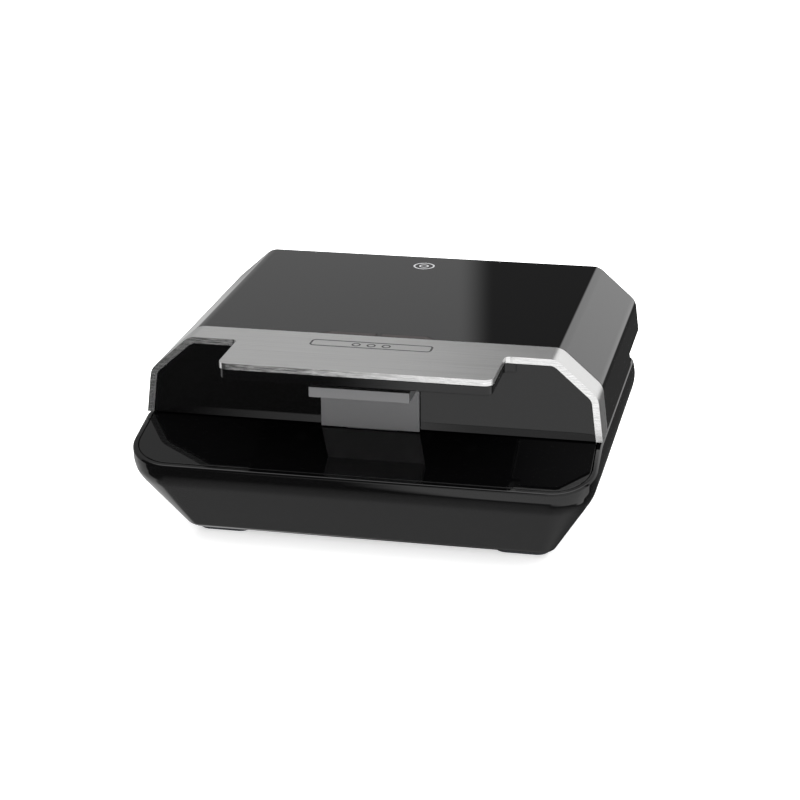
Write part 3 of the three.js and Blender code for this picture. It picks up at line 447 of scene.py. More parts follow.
def brushed_steel():
    g = Graph("brushed_steel", (0.8, 0.8, 0.79), 0.3, 1.0)
    # The brushing follows the band round; on the cut edges that face front and back it runs level.
    round_lines = g.noise(1.0, 4, 0.7, (10, 4200, 10))
    edge_lines = g.noise(1.0, 3, 0.6, (130, 60, 1500))
    facing = g.add("ShaderNodeSeparateXYZ", {"Vector": g.coordinates.outputs["Normal"]})
    is_edge = g.math("GREATER_THAN", g.math("ABSOLUTE", facing.outputs["Y"]), 0.6)
    lines = g.add("ShaderNodeMix", {0: is_edge, 2: round_lines, 3: edge_lines}).outputs[0]
    tone = g.span(lines, 0, 1, 0.35, 0.65)
    # The cut edges that face front and back get a brighter steel colour than the faces. The streaks are
    # real grain, and the extra brightness is a painted highlight.
    face = g.blend(tone, (0.66, 0.66, 0.655), (0.84, 0.84, 0.835))
    edge = g.blend(tone, (0.68, 0.68, 0.675), (1.0, 1.0, 0.995))
    g.drive("Base Color", g.blend(is_edge, face, edge))
    # The cut edges are smoother than the faces.
    smoother = g.math("MULTIPLY", is_edge, 0.15)
    g.drive("Roughness", g.math("SUBTRACT", g.span(lines, 0.27, 0.39), smoother))
    g.bump(lines, 0.000012, 0.5)
    around = g.add(
        "ShaderNodeVectorMath",
        {0: g.coordinates.outputs["Normal"], 1: (0, 1, 0)},
        operation="CROSS_PRODUCT",
    )
    along = g.add(
        "ShaderNodeMix", {0: is_edge, 4: around.outputs["Vector"], 5: (1, 0, 0)}, data_type="VECTOR"
    )
    turned = g.add(
        "ShaderNodeVectorTransform",
        {"Vector": along.outputs[1]},
        vector_type="VECTOR",
        convert_from="OBJECT",
        convert_to="WORLD",
    )
    g.drive("Tangent", turned.outputs["Vector"])
    g.shader.inputs["Anisotropic"].default_value = 0.65
    g.shader.inputs["Anisotropic Rotation"].default_value = 0.25
    return g.material


def grey_plastic():
    g = Graph("satin_grey_plastic", (0.15, 0.15, 0.152), 0.42)
    speckle = g.noise(3200, 2, 0.6)
    g.drive("Base Color", g.blend(speckle, (0.122, 0.122, 0.124), (0.144, 0.144, 0.147)))
    g.drive("Roughness", g.span(g.noise(50, 4), 0.38, 0.5))
    g.bump(speckle, 0.00005, 0.4)
    return g.material


def rubber():
    g = Graph("foot_rubber", (0.03, 0.033, 0.04), 0.7)
    mottle = g.noise(180, 4)
    g.drive("Base Color", g.blend(mottle, (0.024, 0.027, 0.033), (0.042, 0.046, 0.054)))
    g.drive("Roughness", g.span(mottle, 0.62, 0.8))
    g.bump(g.noise(1500, 3), 0.00008, 0.5)
    return g.material


def nonstick():
    g = Graph("nonstick_coating", (0.02, 0.02, 0.021), 0.4)
    flecks = g.noise(2400, 2, 0.7)
    shown = g.span(flecks, 0, 1, 0.5, 0.72)
    g.drive("Base Color", g.blend(shown, (0.017, 0.017, 0.018), (0.06, 0.06, 0.062)))
    g.drive("Roughness", g.span(g.noise(40, 4), 0.3, 0.44))
    g.bump(g.noise(900, 3), 0.00006, 0.45)
    return g.material


def sheet_metal():
    g = Graph("mill_finish_aluminium", (0.62, 0.63, 0.64), 0.34, 1.0)
    g.drive("Roughness", g.span(g.noise(1.0, 3, 0.6, (8, 900, 900)), 0.26, 0.42))
    g.bump(g.noise(300, 3), 0.00005, 0.3)
    return g.material


def heating_rod():
    g = Graph("heat_dulled_steel", (0.2, 0.18, 0.165), 0.5, 1.0)
    scale = g.noise(90, 5, 0.6)
    g.drive("Base Color", g.blend(scale, (0.12, 0.105, 0.095), (0.32, 0.29, 0.26)))
    g.drive("Roughness", g.span(scale, 0.38, 0.6))
    return g.material


def bright_steel():
    g = Graph("bright_zinc_plate", (0.68, 0.68, 0.69), 0.22, 1.0)
    g.drive("Roughness", g.span(g.noise(500, 4), 0.16, 0.3))
    g.drive("Base Color", g.blend(g.noise(160, 3), (0.6, 0.6, 0.61), (0.74, 0.74, 0.75)))
    return g.material


def painted_metal():
    g = Graph("satin_black_paint", (0.016, 0.016, 0.017), 0.38)
    g.drive("Roughness", g.span(g.noise(120, 4), 0.3, 0.46))
    g.bump(g.noise(1100, 3), 0.00005, 0.4)
    return g.material


def smoked_lens():
    g = Graph("smoked_lens", (0.012, 0.0075, 0.0075), 0.05)
    g.drive("Roughness", g.span(g.noise(60, 3), 0.03, 0.07))
    return g.material


def lamp_glass():
    g = Graph("lamp_glass", (0.9, 0.55, 0.35), 0.05)
    g.shader.inputs["Transmission Weight"].default_value = 0.8
    g.drive("Roughness", g.span(g.noise(200, 2), 0.03, 0.08))
    return g.material


def ceramic():
    g = Graph("unglazed_ceramic", (0.72, 0.69, 0.62), 0.6)
    g.drive("Base Color", g.blend(g.noise(300, 4), (0.64, 0.61, 0.54), (0.78, 0.76, 0.7)))
    g.bump(g.noise(2000, 3), 0.00006, 0.4)
    return g.material


def woven_sleeve():
    g = Graph("woven_glass_sleeve", (0.7, 0.67, 0.58), 0.75)
    weave = g.add(
        "ShaderNodeTexWave",
        {"Vector": g.coordinates.outputs["Object"], "Scale": 600.0, "Distortion": 3.0},
        bands_direction="DIAGONAL",
    )
    g.drive("Base Color", g.blend(weave.outputs["Fac"], (0.6, 0.57, 0.48), (0.76, 0.74, 0.66)))
    g.bump(weave.outputs["Fac"], 0.0001, 0.6)
    return g.material


def resin_board():
    g = Graph("resin_board", (0.32, 0.25, 0.1), 0.5)
    g.drive("Base Color", g.blend(g.noise(900, 3), (0.27, 0.2, 0.08), (0.38, 0.3, 0.13)))
    return g.material


def printed_grey():
    g = Graph("printed_grey_ink", (0.35, 0.35, 0.36), 0.45)
    g.drive("Base Color", g.blend(g.noise(1500, 2), (0.3, 0.3, 0.31), (0.4, 0.4, 0.41)))
    return g.material


def etched_grey():
    g = Graph("etched_dark_grey", (0.03, 0.03, 0.031), 0.5)
    g.drive("Base Color", g.blend(g.noise(1500, 2), (0.024, 0.024, 0.025), (0.04, 0.04, 0.041)))
    return g.material


BLACK = gloss_black()
MATT = matt_black()
STEEL = brushed_steel()
GREY = grey_plastic()
RUBBER = rubber()
NONSTICK = nonstick()
SHEET = sheet_metal()
ROD = heating_rod()
BRIGHT = bright_steel()
PAINT = painted_metal()
LENS = smoked_lens()
LAMP = lamp_glass()
CERAMIC = ceramic()
SLEEVE = woven_sleeve()
BOARD = resin_board()
PRINT = printed_grey()
ETCH = etched_grey()


def dress(node, material, rounding=0.0):
    """Gives a CAD node its material and rounds its edges without touching its mesh."""
    piece = NODES[node]
    piece.data.materials.clear()
    piece.data.materials.append(material)
    weld = piece.modifiers.new("weld", "WELD")
    weld.merge_threshold = 0.000005
    flats = piece.modifiers.new("flats", "DECIMATE")
    flats.decimate_type = "DISSOLVE"
    flats.angle_limit = math.radians(0.5)
    if rounding:
        bevel = piece.modifiers.new("rounding", "BEVEL")
        bevel.width = rounding * MM
        bevel.segments = 2
        bevel.limit_method = "ANGLE"
        bevel.angle_limit = SOFT_EDGE
        bevel.use_clamp_overlap = True
    piece.data.shade_smooth()
    add_shading(piece)


# ---- Lid ----------------------------------------------------------------------------------------
LENS_SLANT = 1.1
LID_STRAIGHT_Y = 44.0  # one more section, part of the way along the lid's straight stretch
LID_REAR_RADIUS = 3.0
LID_ROUNDING = 0.35
TAB_LAP = 6.0  # how far the handle's tab runs back under the band
STEEL_ROUNDING = 0.12
GRIP_INSET = 0.4
GRIP_ROUNDING = 0.9
GRIP_TRIM_X = 90.0  # the middle of the stretch at each end where the grip stops short of the panel
GRIP_TRIM_HALF_WIDTH = 8.5
GRIP_RELIEF_HALF_WIDTH = 95.0
HAIR = 0.05  # keeps two cutting faces from lying in one plane
HANDLE_SCREWS = [(-50, -87), (50, -87)]
SINK_RADIUS = 4.0
SINK_DEPTH = 2.6


def lens_outline(side, grow):
    """One indicator window seen from above: straight along the band, slanting at its outer end."""
    low, high = box_mm("indicator_lens_right")

    def outer_at(y):
        return high.x + 1.5 * grow - (y - low.y) * LENS_SLANT

    corners = [
        (low.x - grow, low.y - grow),
        (outer_at(low.y - grow), low.y - grow),
        (outer_at(high.y + grow), high.y + grow),
        (low.x - grow, high.y + grow),
    ]
    return [(side * x, y) for x, y in corners]


def make_lid_shell():
    depths = [(COVER_LOW.y, SKIN_INSET), (LID_STRAIGHT_Y, SKIN_INSET)]
    for k in range(9):
        angle = math.pi / 2 * k / 8
        inset = SKIN_INSET + LID_REAR_RADIUS * (1 - math.cos(angle))
        depths.append((LID_REAR - LID_REAR_RADIUS * (1 - math.sin(angle)), inset))
    outer = skin("lid_shell", [
        [(x, y, z) for x, z in lid_outline(inset, LID_BOTTOM, LID_CORNER_RADIUS - inset / 2)]
        for y, inset in depths
    ])
    inside = lid_outline(WALL, LID_BOTTOM - THROUGH)
    hollow = prism("hollow", "y", inside, COVER_LOW.y - THROUGH, LID_REAR - WALL)
    step_bottom = LID_BOTTOM - 2 * THROUGH
    step = block("step", -BEYOND, BEYOND, REAR_STEP_Y, LID_REAR + THROUGH, step_bottom, REAR_STEP_Z)
    pockets = [
        prism("pocket", "z", lens_outline(side, GAP), LID_TOP - 2 * THROUGH, LID_TOP + THROUGH)
        for side in (-1, 1)
    ]
    shell = soften(cut(outer, hollow, step, *pockets), LID_ROUNDING)
    place(shell, "lid", "gloss_black_housing", BLACK, "lid_cover")


def make_band():
    band = prism("steel_wrap", "y", lid_outline(SKIN_INSET, LID_BOTTOM), LID_FRONT, BAND_REAR)
    inside = lid_outline(BAND_THICKNESS, LID_BOTTOM - THROUGH, LID_CORNER_RADIUS - BAND_THICKNESS)
    hollow = prism("hollow", "y", inside, LID_FRONT - THROUGH, BAND_REAR + THROUGH)
    outline = handle_outline(LID_FRONT + TAB_LAP)
    tab = prism("tab", "z", outline, LID_TOP - HANDLE_STEEL, LID_TOP - SKIN_INSET)
    wrap = soften(join(cut(band, hollow), tab), STEEL_ROUNDING, 2)
    place(wrap, "lid", "brushed_steel_band", STEEL, "steel_band")


def make_grip():
    rear = GRIP_HIGH.y
    under, over = GRIP_LOW.z - THROUGH, LID_TOP + THROUGH
    outline = handle_outline(rear, GRIP_INSET)
    slab = soften(prism("grip_pad", "z", outline, GRIP_LOW.z, GRIP_HIGH.z), GRIP_ROUNDING)
    trims = []
    for middle in (-GRIP_TRIM_X, GRIP_TRIM_X):
        x0, x1 = middle - GRIP_TRIM_HALF_WIDTH, middle + GRIP_TRIM_HALF_WIDTH
        trims.append(block("trim", x0, x1, LID_FRONT - GAP - HAIR, rear + THROUGH, under, over))
    # The band is thicker than the tab, so the grip is relieved where it runs under the band.
    half = GRIP_RELIEF_HALF_WIDTH
    band_under = LID_TOP - BAND_THICKNESS - GAP
    relief = block("relief", -half, half, LID_FRONT - GAP, rear + 1, band_under, over)
    sink_top = GRIP_LOW.z + SINK_DEPTH
    profile = [(0, under), (SINK_RADIUS, under), (SINK_RADIUS, sink_top), (0, sink_top)]
    sinks = [lathe("sink", profile, "z", (x, y, 0)) for x, y in HANDLE_SCREWS]
    grip = soften(cut(slab, *trims, relief, *sinks), 0)
    place(grip, "lid", "gloss_black_housing", BLACK, "handle_grip")


def make_front_panel():
    dress("lid_front_panel", BLACK, 0.25)


# Plain ornaments, where the real object carries a printed badge and a symbol.
BADGE_SIZE = (69.0, 10.5)
BADGE_CORNER = 3.0
BADGE_LINE = 1.1
BADGE_RING_RADIUS = 2.6
BADGE_RING_SPACING = 8.5
RING_LINE = 1.0
LID_RING_RADII = (6.5, 3.0)
MARK_DEPTH = 0.4
MARK_BELOW_TOP = 0.01


def ring(name, centre, outer, low, high):
    inner = outer - RING_LINE
    profile = [(inner, low), (outer, low), (outer, high), (inner, high), (inner, low)]
    return lathe(name, profile, "z", (centre.x, centre.y, 0), 64)


def badge_outline(inset):
    half = Vector(BADGE_SIZE) / 2 - Vector((inset, inset))
    low, high = BADGE - half, BADGE + half
    return rectangle(low.x, high.x, low.y, high.y, BADGE_CORNER - inset)


def badge_frame(low, high):
    """The line round the badge: a rounded rectangle less a smaller one."""
    inside = prism("inside", "z", badge_outline(BADGE_LINE), low - 1, high + 1)
    return cut(prism("badge_frame", "z", badge_outline(0.0), low, high), inside)


def make_marks():
    low, high = LID_TOP - MARK_DEPTH, LID_TOP - MARK_BELOW_TOP
    badge = [badge_frame(low, high)]
    for i in range(3):
        centre = BADGE + Vector(((i - 1) * BADGE_RING_SPACING, 0))
        badge.append(ring(f"badge_ring_{i + 1}", centre, BADGE_RING_RADIUS, low, high))
    for mark in badge:
        place(soften(mark, 0), "lid", "brushed_steel_band", ETCH)
    for i, radius in enumerate(LID_RING_RADII):
        mark = ring(f"lid_ring_{i + 1}", LID_MARK, radius, low, high)
        place(soften(mark, 0), "lid", "gloss_black_housing", PRINT)


# ---- Base ---------------------------------------------------------------------------------------
BASE_RIM_HALF_WIDTH = 129.8
BASE_WIDEST_Z = 57.2
BASE_BOTTOM_RADIUS = 4.0
# Where each wall starts to come in, how far it leans, and the radius of its shoulder.
BASE_TAPERS = {
    "side": (BASE_WIDEST_Z, math.radians(30), 27.0),
    "front": (52.5, math.radians(40), 20.0),
    "rear": (BASE_WIDEST_Z, math.radians(15), 27.0),
}
BASE_FRONT_CORNER = 24.0
BASE_BOTTOM_CORNER = 6.0
BASE_REAR_CORNER = 13.0
BASE_WIDEST_REAR = 90.0
BASE_CORNER_FULL_Z = 50.0  # above this the front corners have their full radius
RIM_RADIUS = 1.2
DECK_LIP = 0.3
DECK_SEAT = 3.0  # depth of the seat that the deck lies in
COVER_SEAT_Z = 7.0
COVER_SEAT_WIDTH = 12.0
COVER_CORNER = 6.0
COVER_GAP = 0.4
BUSH_BORE_RADIUS = 4.5
BUSH_BORE_DEPTH = 40.0
DECK_GAP = 0.4
DECK_THICKNESS = 2.5
DECK_ROUNDING = 0.3
PLATE_GAP = 0.6
HOOK_SLOT = (-15.5, 15.5, -67.7, -57.6)  # x0, x1, y0, y1
FOOT_CORNER = 7.0
FOOT_SEAT_GAP = 0.1
FOOT_ROUNDING = 0.9
PLATE_CORNER = 5.0


def top_level(y):
    """The base's top surface: flat under the lid, sloping down in front of it."""
    return DECK_TOP - max(0.0, LID_FRONT - y) * LEDGE_SLOPE


def taper_inset(z, wall):
    """How far a wall has come in at height z, below its rounded shoulder."""
    start, angle, radius = BASE_TAPERS[wall]
    arc_end = start - radius * math.sin(angle)
    if z >= start:
        return 0.0
    if z >= arc_end:
        return radius - math.sqrt(radius**2 - (start - z) ** 2)
    return radius * (1 - math.cos(angle)) + (arc_end - z) * math.tan(angle)


def side_tuck(depth):
    """How far the side wall is still inside its widest line, at a depth below the rim."""
    share = min(max(depth / (DECK_TOP - BASE_WIDEST_Z), 0.0), 1.0)
    return (BASE_HALF_WIDTH - BASE_RIM_HALF_WIDTH) * (1 - math.sin(share * math.pi / 2))


def base_section(z, inset):
    """The base's level outline at height z, moved in by inset."""
    up = BASE_BOTTOM + BASE_BOTTOM_RADIUS - z
    edge = BASE_BOTTOM_RADIUS - math.sqrt(max(BASE_BOTTOM_RADIUS**2 - up**2, 0)) if up > 0 else 0.0
    side = BASE_HALF_WIDTH - taper_inset(z, "side") - inset - edge
    front = BASE_FRONT + taper_inset(z, "front") + inset + edge
    tuck = side_tuck(DECK_TOP - z)
    rear = BASE_WIDEST_REAR - tuck - taper_inset(z, "rear") - inset - edge
    half_front = side - side_tuck(top_level(BASE_FRONT) - z)
    half = side - tuck
    share = min(max((z - BASE_BOTTOM) / (BASE_CORNER_FULL_Z - BASE_BOTTOM), 0.0), 1.0)
    front_radius = BASE_BOTTOM_CORNER + (BASE_FRONT_CORNER - BASE_BOTTOM_CORNER) * share
    front_radius = max(front_radius - inset, 2.0)
    rear_radius = max(BASE_REAR_CORNER - inset, 2.0)
    corners = [
        (-half_front, front),
        (half_front, front),
        (half, LID_FRONT),
        (half, rear),
        (-half, rear),
        (-half, LID_FRONT),
    ]
    return rounded(corners, [front_radius, front_radius, 0, rear_radius, rear_radius, 0])


def base_ring(level, inset):
    """A ring round the base whose height at depth y is level(y), found in a few rounds."""
    heights = [level(0.0)] * (4 * (FINE + 1) + 2)  # four rounded corners and two creases
    for _ in range(5):
        sections = {}
        points = []
        for i, z in enumerate(heights):
            key = round(z, 4)
            if key not in sections:
                sections[key] = base_section(z, inset)
            points.append(sections[key][i])
        heights = [level(y) for _, y in points]
    return [(x, y, z) for (x, y), z in zip(points, heights)]


def outer_rings():
    """Up the outside, from the rounded bottom edge over the rounded edge of the rim."""
    low = BASE_BOTTOM + BASE_BOTTOM_RADIUS
    rings = []
    for k in range(7):
        z = BASE_BOTTOM + BASE_BOTTOM_RADIUS * (1 - math.cos(math.pi / 2 * k / 6))
        rings.append(base_ring(lambda y, z=z: z, 0.0))
    for k in range(1, 25):
        share = k / 24
        rings.append(base_ring(
            lambda y, s=share: low + (top_level(y) - RIM_RADIUS - low) * s, 0.0
        ))
    for k in range(1, 6):
        angle = math.pi / 2 * k / 5
        drop = RIM_RADIUS * (1 - math.sin(angle))
        rings.append(base_ring(lambda y, d=drop: top_level(y) - d, RIM_RADIUS * (1 - math.cos(angle))))
    return rings


def seat_rings():
    """Across the rim, over its inner lip and down to the seat that the deck lies in."""
    steps = [
        (0.0, RIM_WIDTH - DECK_LIP),
        (0.3 * DECK_LIP, RIM_WIDTH - 0.3 * DECK_LIP),
        (DECK_LIP, RIM_WIDTH),
        (DECK_SEAT, RIM_WIDTH),
        (DECK_SEAT, WALL),
    ]
    return [base_ring(lambda y, d=drop: top_level(y) - d, inset) for drop, inset in steps]


def inner_rings():
    """Down the inside of the wall, in to the bottom cover's seat and out through its opening."""
    rings = []
    for k in range(1, 13):
        share = 1 - k / 12
        rings.append(base_ring(
            lambda y, s=share: COVER_SEAT_Z + (top_level(y) - DECK_SEAT - COVER_SEAT_Z) * s, WALL
        ))
    cover_low, cover_high = box_mm("bottom_cover")
    seat = cover_high.z + COVER_GAP
    steps = [
        (-COVER_SEAT_WIDTH, COVER_SEAT_Z),
        (-COVER_SEAT_WIDTH, seat),
        (COVER_GAP, seat),
        (COVER_GAP, BASE_BOTTOM),
    ]
    radii = [COVER_CORNER, COVER_CORNER, 0, COVER_CORNER, COVER_CORNER, 0]
    for margin, z in steps:
        x0, x1 = cover_low.x - margin, cover_high.x + margin
        y0, y1 = cover_low.y - margin, cover_high.y + margin
        middle = (y0 + y1) / 2
        corners = [(x0, y0), (x1, y0), (x1, middle), (x1, y1), (x0, y1), (x0, middle)]
        rings.append([(x, y, z) for x, y in rounded(corners, radii)])
    return rings


def make_base_shell():
    shell = skin("base_shell", outer_rings() + seat_rings() + inner_rings(), closed=True)
    bush_low, bush_high = box_mm("cord_bush")
    middle = (bush_low + bush_high) / 2
    start, end = BASE_REAR - BUSH_BORE_DEPTH, BASE_REAR + THROUGH
    profile = [(0, start), (BUSH_BORE_RADIUS, start), (BUSH_BORE_RADIUS, end), (0, end)]
    cut(shell, lathe("bore", profile, "y", (middle.x, 0, middle.z)))
    place(soften(shell, 0), "base", "gloss_black_housing", BLACK, "base_housing")


def make_deck():
    """The inlay is made flat, with its holes, then creased at the lid's front and bent to shape."""
    outline = [(x, y) for x, y, _ in base_ring(top_level, RIM_WIDTH + DECK_GAP)]
    sheet = prism("deck_inlay", "z", outline, -DECK_THICKNESS, 0)
    low, high = box_mm("lower_donut_plate")
    x0, x1 = low.x - PLATE_GAP, high.x + PLATE_GAP
    y0, y1 = low.y - PLATE_GAP, high.y + PLATE_GAP
    hole = prism("hole", "z", rectangle(x0, x1, y0, y1, PLATE_CORNER), -THROUGH, THROUGH)
    slot = block("slot", *HOOK_SLOT, -THROUGH, THROUGH)
    cut(sheet, hole, slot)
    edit = bmesh.new()
    edit.from_mesh(sheet.data)
    parts = edit.verts[:] + edit.edges[:] + edit.faces[:]
    bmesh.ops.bisect_plane(edit, geom=parts, dist=0.001, plane_co=(0, LID_FRONT, 0), plane_no=(0, 1, 0))
    for vertex in edit.verts:
        vertex.co.z += top_level(vertex.co.y)
    edit.to_mesh(sheet.data)
    edit.free()
    place(soften(sheet, DECK_ROUNDING), "base", "gloss_black_housing", BLACK, "base_deck")


def make_feet():
    for node in [n for n in NODES if n.startswith("foot_")]:
        low, high = box_mm(node)
        outline = rectangle(low.x, high.x, low.y, high.y, FOOT_CORNER)
        pad = prism("pad_" + node, "z", outline, 0, BASE_BOTTOM - FOOT_SEAT_GAP)
        place(soften(pad, FOOT_ROUNDING, 4), "base", "foot_rubber", RUBBER, node)


# ---- Plates -------------------------------------------------------------------------------------
MOULD_PITCH = (72.0, 64.0)
MOULD_RING_RADIUS = 19.5
MOULD_HALF_WIDTH = 10.0
MOULD_DEPTH = 9.0
MOULD_FILLET = 0.7
BOWL_START = math.radians(8)
BOWL_END = math.radians(172)
BOSS_RADIUS = 31.5
BOSS_DRAFT = 4.0
BOSS_DEPTH = 12.3
PLATE_THICKNESS = 4.0
PLATE_ROUNDING = 0.6
SIDE_STEPS = 16


def mould_profile():
    """Radius and height down into one ring mould and up onto the island in its middle."""
    outer = MOULD_RING_RADIUS + MOULD_HALF_WIDTH
    inner = MOULD_RING_RADIUS - MOULD_HALF_WIDTH
    fillet = [(MOULD_FILLET, 0.0), (0.3 * MOULD_FILLET, -0.15 * MOULD_FILLET), (0.0, -0.8 * MOULD_FILLET)]
    down = [(outer + step, height) for step, height in fillet]
    bowl = []
    for k in range(1, 20):
        angle = BOWL_START + (BOWL_END - BOWL_START) * k / 20
        radius = MOULD_RING_RADIUS + MOULD_HALF_WIDTH * math.cos(angle)
        bowl.append((radius, -MOULD_DEPTH * math.sin(angle)))
    return down + bowl + [(inner - step, height) for step, height in reversed(fillet)]


def cell_outline(x0, x1, y0, y1, radii):
    """A cell's outline, with points along its sides and only the plate's own corners rounded."""
    rough = rounded([(x0, y0), (x1, y0), (x1, y1), (x0, y1)], radii, 8)
    points = []
    for (ax, ay), (bx, by) in zip(rough, rough[1:] + rough[:1]):
        steps = SIDE_STEPS if math.hypot(bx - ax, by - ay) > 2 * PLATE_CORNER else 1
        points += [(ax + (bx - ax) * k / steps, ay + (by - ay) * k / steps) for k in range(steps)]
    return points


def plate_cell(points, faces, centre, bounds, radii, seams):
    """Adds one mould, its boss and the land round them, as rings of points about the mould's axis."""
    outline = cell_outline(*bounds, radii)
    cx, cy = centre
    angles = [math.atan2(y - cy, x - cx) for x, y in outline]

    def circle(radius, height):
        return [(cx + radius * math.cos(a), cy + radius * math.sin(a), height) for a in angles]

    rings = [[(x, y, 0.0) for x, y in outline]]
    rings += [circle(radius, height) for radius, height in mould_profile()]
    under = [
        [(x, y, -PLATE_THICKNESS) for x, y in outline],
        circle(BOSS_RADIUS, -PLATE_THICKNESS),
        circle(BOSS_RADIUS - BOSS_DRAFT, -BOSS_DEPTH),
    ]
    count = len(outline)
    for side, centre_height, flip in ((rings, 0.0, False), (under, -BOSS_DEPTH, True)):
        start = len(points)
        points += [point for one in side for point in one]
        points.append((cx, cy, centre_height))
        for row in range(len(side)):
            for k in range(count):
                a = start + row * count + k
                b = start + row * count + (k + 1) % count
                last = row == len(side) - 1
                face = (a, b, len(points) - 1) if last else (a, b, b + count, a + count)
                faces.append(face[::-1] if flip else face)
    top = len(points) - (len(rings) + len(under)) * count - 2
    low = top + len(rings) * count + 1
    for k in range(count):
        n = (k + 1) % count
        (ax, ay), (bx, by) = outline[k], outline[n]
        on_seam = any(abs(ax - x) + abs(bx - x) < 0.01 for x in seams[0])
        on_seam = on_seam or any(abs(ay - y) + abs(by - y) < 0.01 for y in seams[1])
        if not on_seam:
            faces.append((top + n, top + k, low + k, low + n))


def make_plate(side):
    node = f"{side}_donut_plate"
    low, high = box_mm(node)
    middle_y = (low.y + high.y) / 2
    pitch_x, pitch_y = MOULD_PITCH
    edges_x = [low.x, -pitch_x / 2, pitch_x / 2, high.x]
    edges_y = [low.y, middle_y, high.y]
    seams = (edges_x[1:3], edges_y[1:2])
    points = []
    faces = []
    for column in range(3):
        for row in range(2):
            centre = ((column - 1) * pitch_x, middle_y + (row - 0.5) * pitch_y)
            bounds = (edges_x[column], edges_x[column + 1], edges_y[row], edges_y[row + 1])
            outer_corners = [(0, 0), (2, 0), (2, 1), (0, 1)]
            radii = [PLATE_CORNER if (column, row) == corner else 0 for corner in outer_corners]
            plate_cell(points, faces, centre, bounds, radii, seams)
    plate = soften(mesh_object("cast_" + node, points, faces), PLATE_ROUNDING)
    if side == "lower":
        stand = Matrix.Translation((0, 0, high.z))
    else:
        stand = Matrix.Translation((0, 2 * middle_y, low.z)) @ Matrix.Rotation(math.pi, 4, "X")
    plate.data.transform(stand)
    body = "base" if side == "lower" else "lid"
    place(plate, body, "nonstick_aluminium", NONSTICK, node)


# ---- Latch --------------------------------------------------------------------------------------
SPRING_WIRE_RADIUS = 0.55
SPRING_TURNS = 5
SPRING_STEPS = 24  # straight pieces in a turn
SPRING_END_GAP = 0.6


def make_latch():
    dress("latch", GREY, 0.5)
    dress("latch_keeper", BRIGHT, 0.2)
    dress("latch_pin", BRIGHT, 0.3)
    low, high = box_mm("latch_spring")
    middle = (low + high) / 2
    radius = (high.z - low.z) / 2 - SPRING_WIRE_RADIUS
    start = low.x + SPRING_END_GAP
    length = high.x - low.x - 2 * SPRING_END_GAP
    steps = SPRING_TURNS * SPRING_STEPS
    coil = []
    for i in range(steps + 1):
        angle = 2 * math.pi * i / SPRING_STEPS
        y = middle.y + radius * math.cos(angle)
        z = middle.z + radius * math.sin(angle)
        coil.append((start + length * i / steps, y, z))
    spring = soften(tube("wound_spring", coil, SPRING_WIRE_RADIUS, 10), 0)
    place(spring, "lid", "bright_steel", BRIGHT, "latch_spring")


# ---- Carried-over pieces ------------------------------------------------------------------------
def dress_the_rest():
    for side in ("left", "right"):
        dress(f"hinge_bracket_{side}", PAINT, 0.4)
        dress(f"hinge_arm_{side}", BRIGHT, 0.3)
        dress(f"hinge_pin_{side}", BRIGHT, 0.3)
        dress(f"indicator_lens_{side}", LENS, 0.15)
        dress(f"indicator_lamp_{side}", LAMP)
    for side in ("lower", "upper"):
        dress(f"{side}_reflector", SHEET, 0.2)
        dress(f"{side}_heating_element", ROD)
        for i in range(1, 5):
            dress(f"{side}_plate_screw_{i}", BRIGHT, 0.3)
    for i in range(1, 5):
        dress(f"bottom_screw_{i}", BRIGHT, 0.4)
        dress(f"liner_screw_{i}", BRIGHT, 0.4)
    for i in (1, 2):
        dress(f"handle_screw_{i}", BRIGHT, 0.4)
    for lead in ("live_lead", "neutral_lead", "lid_lead", "thermal_fuse"):
        dress(lead, SLEEVE)
    dress("bottom_cover", MATT, 0.3)
    dress("lid_liner", MATT, 0.4)
    dress("cord_bush", RUBBER, 0.5)
    dress("terminal_block", CERAMIC, 0.3)
    dress("thermostat", BRIGHT, 0.3)
    dress("lamp_board", BOARD, 0.1)


# ---- Studio -------------------------------------------------------------------------------------
CAMERA_AZIMUTH = math.radians(12.33)
CAMERA_ELEVATION = math.radians(20.15)
CAMERA_ROLL = math.radians(-0.45)
CAMERA_DISTANCE = 1.3202
CAMERA_LENS = 101.43
CAMERA_AIM_OFFSET = Vector((0.0020, 0.0014, 0.0022))
FLOOR_HALF_WIDTH = 12.0


def make_camera():
    low, high = CAD_BOX
    aim = Vector((low + high) / 2) + CAMERA_AIM_OFFSET
    forward = Vector((
        -math.sin(CAMERA_AZIMUTH) * math.cos(CAMERA_ELEVATION),
        math.cos(CAMERA_AZIMUTH) * math.cos(CAMERA_ELEVATION),
        -math.sin(CAMERA_ELEVATION),
    ))
    level_right = Vector((math.cos(CAMERA_AZIMUTH), math.sin(CAMERA_AZIMUTH), 0))
    level_up = level_right.cross(forward)
    right = level_right * math.cos(CAMERA_ROLL) + level_up * math.sin(CAMERA_ROLL)
    up = level_up * math.cos(CAMERA_ROLL) - level_right * math.sin(CAMERA_ROLL)
    data = bpy.data.cameras.new("camera")
    data.lens = CAMERA_LENS
    data.sensor_width = 36.0
    camera = bpy.data.objects.new("camera", data)
    bpy.context.scene.collection.objects.link(camera)
    turned = Matrix((right, up, -forward)).transposed().to_4x4()
    camera.matrix_world = Matrix.Translation(aim - forward * CAMERA_DISTANCE) @ turned
    bpy.context.scene.camera = camera


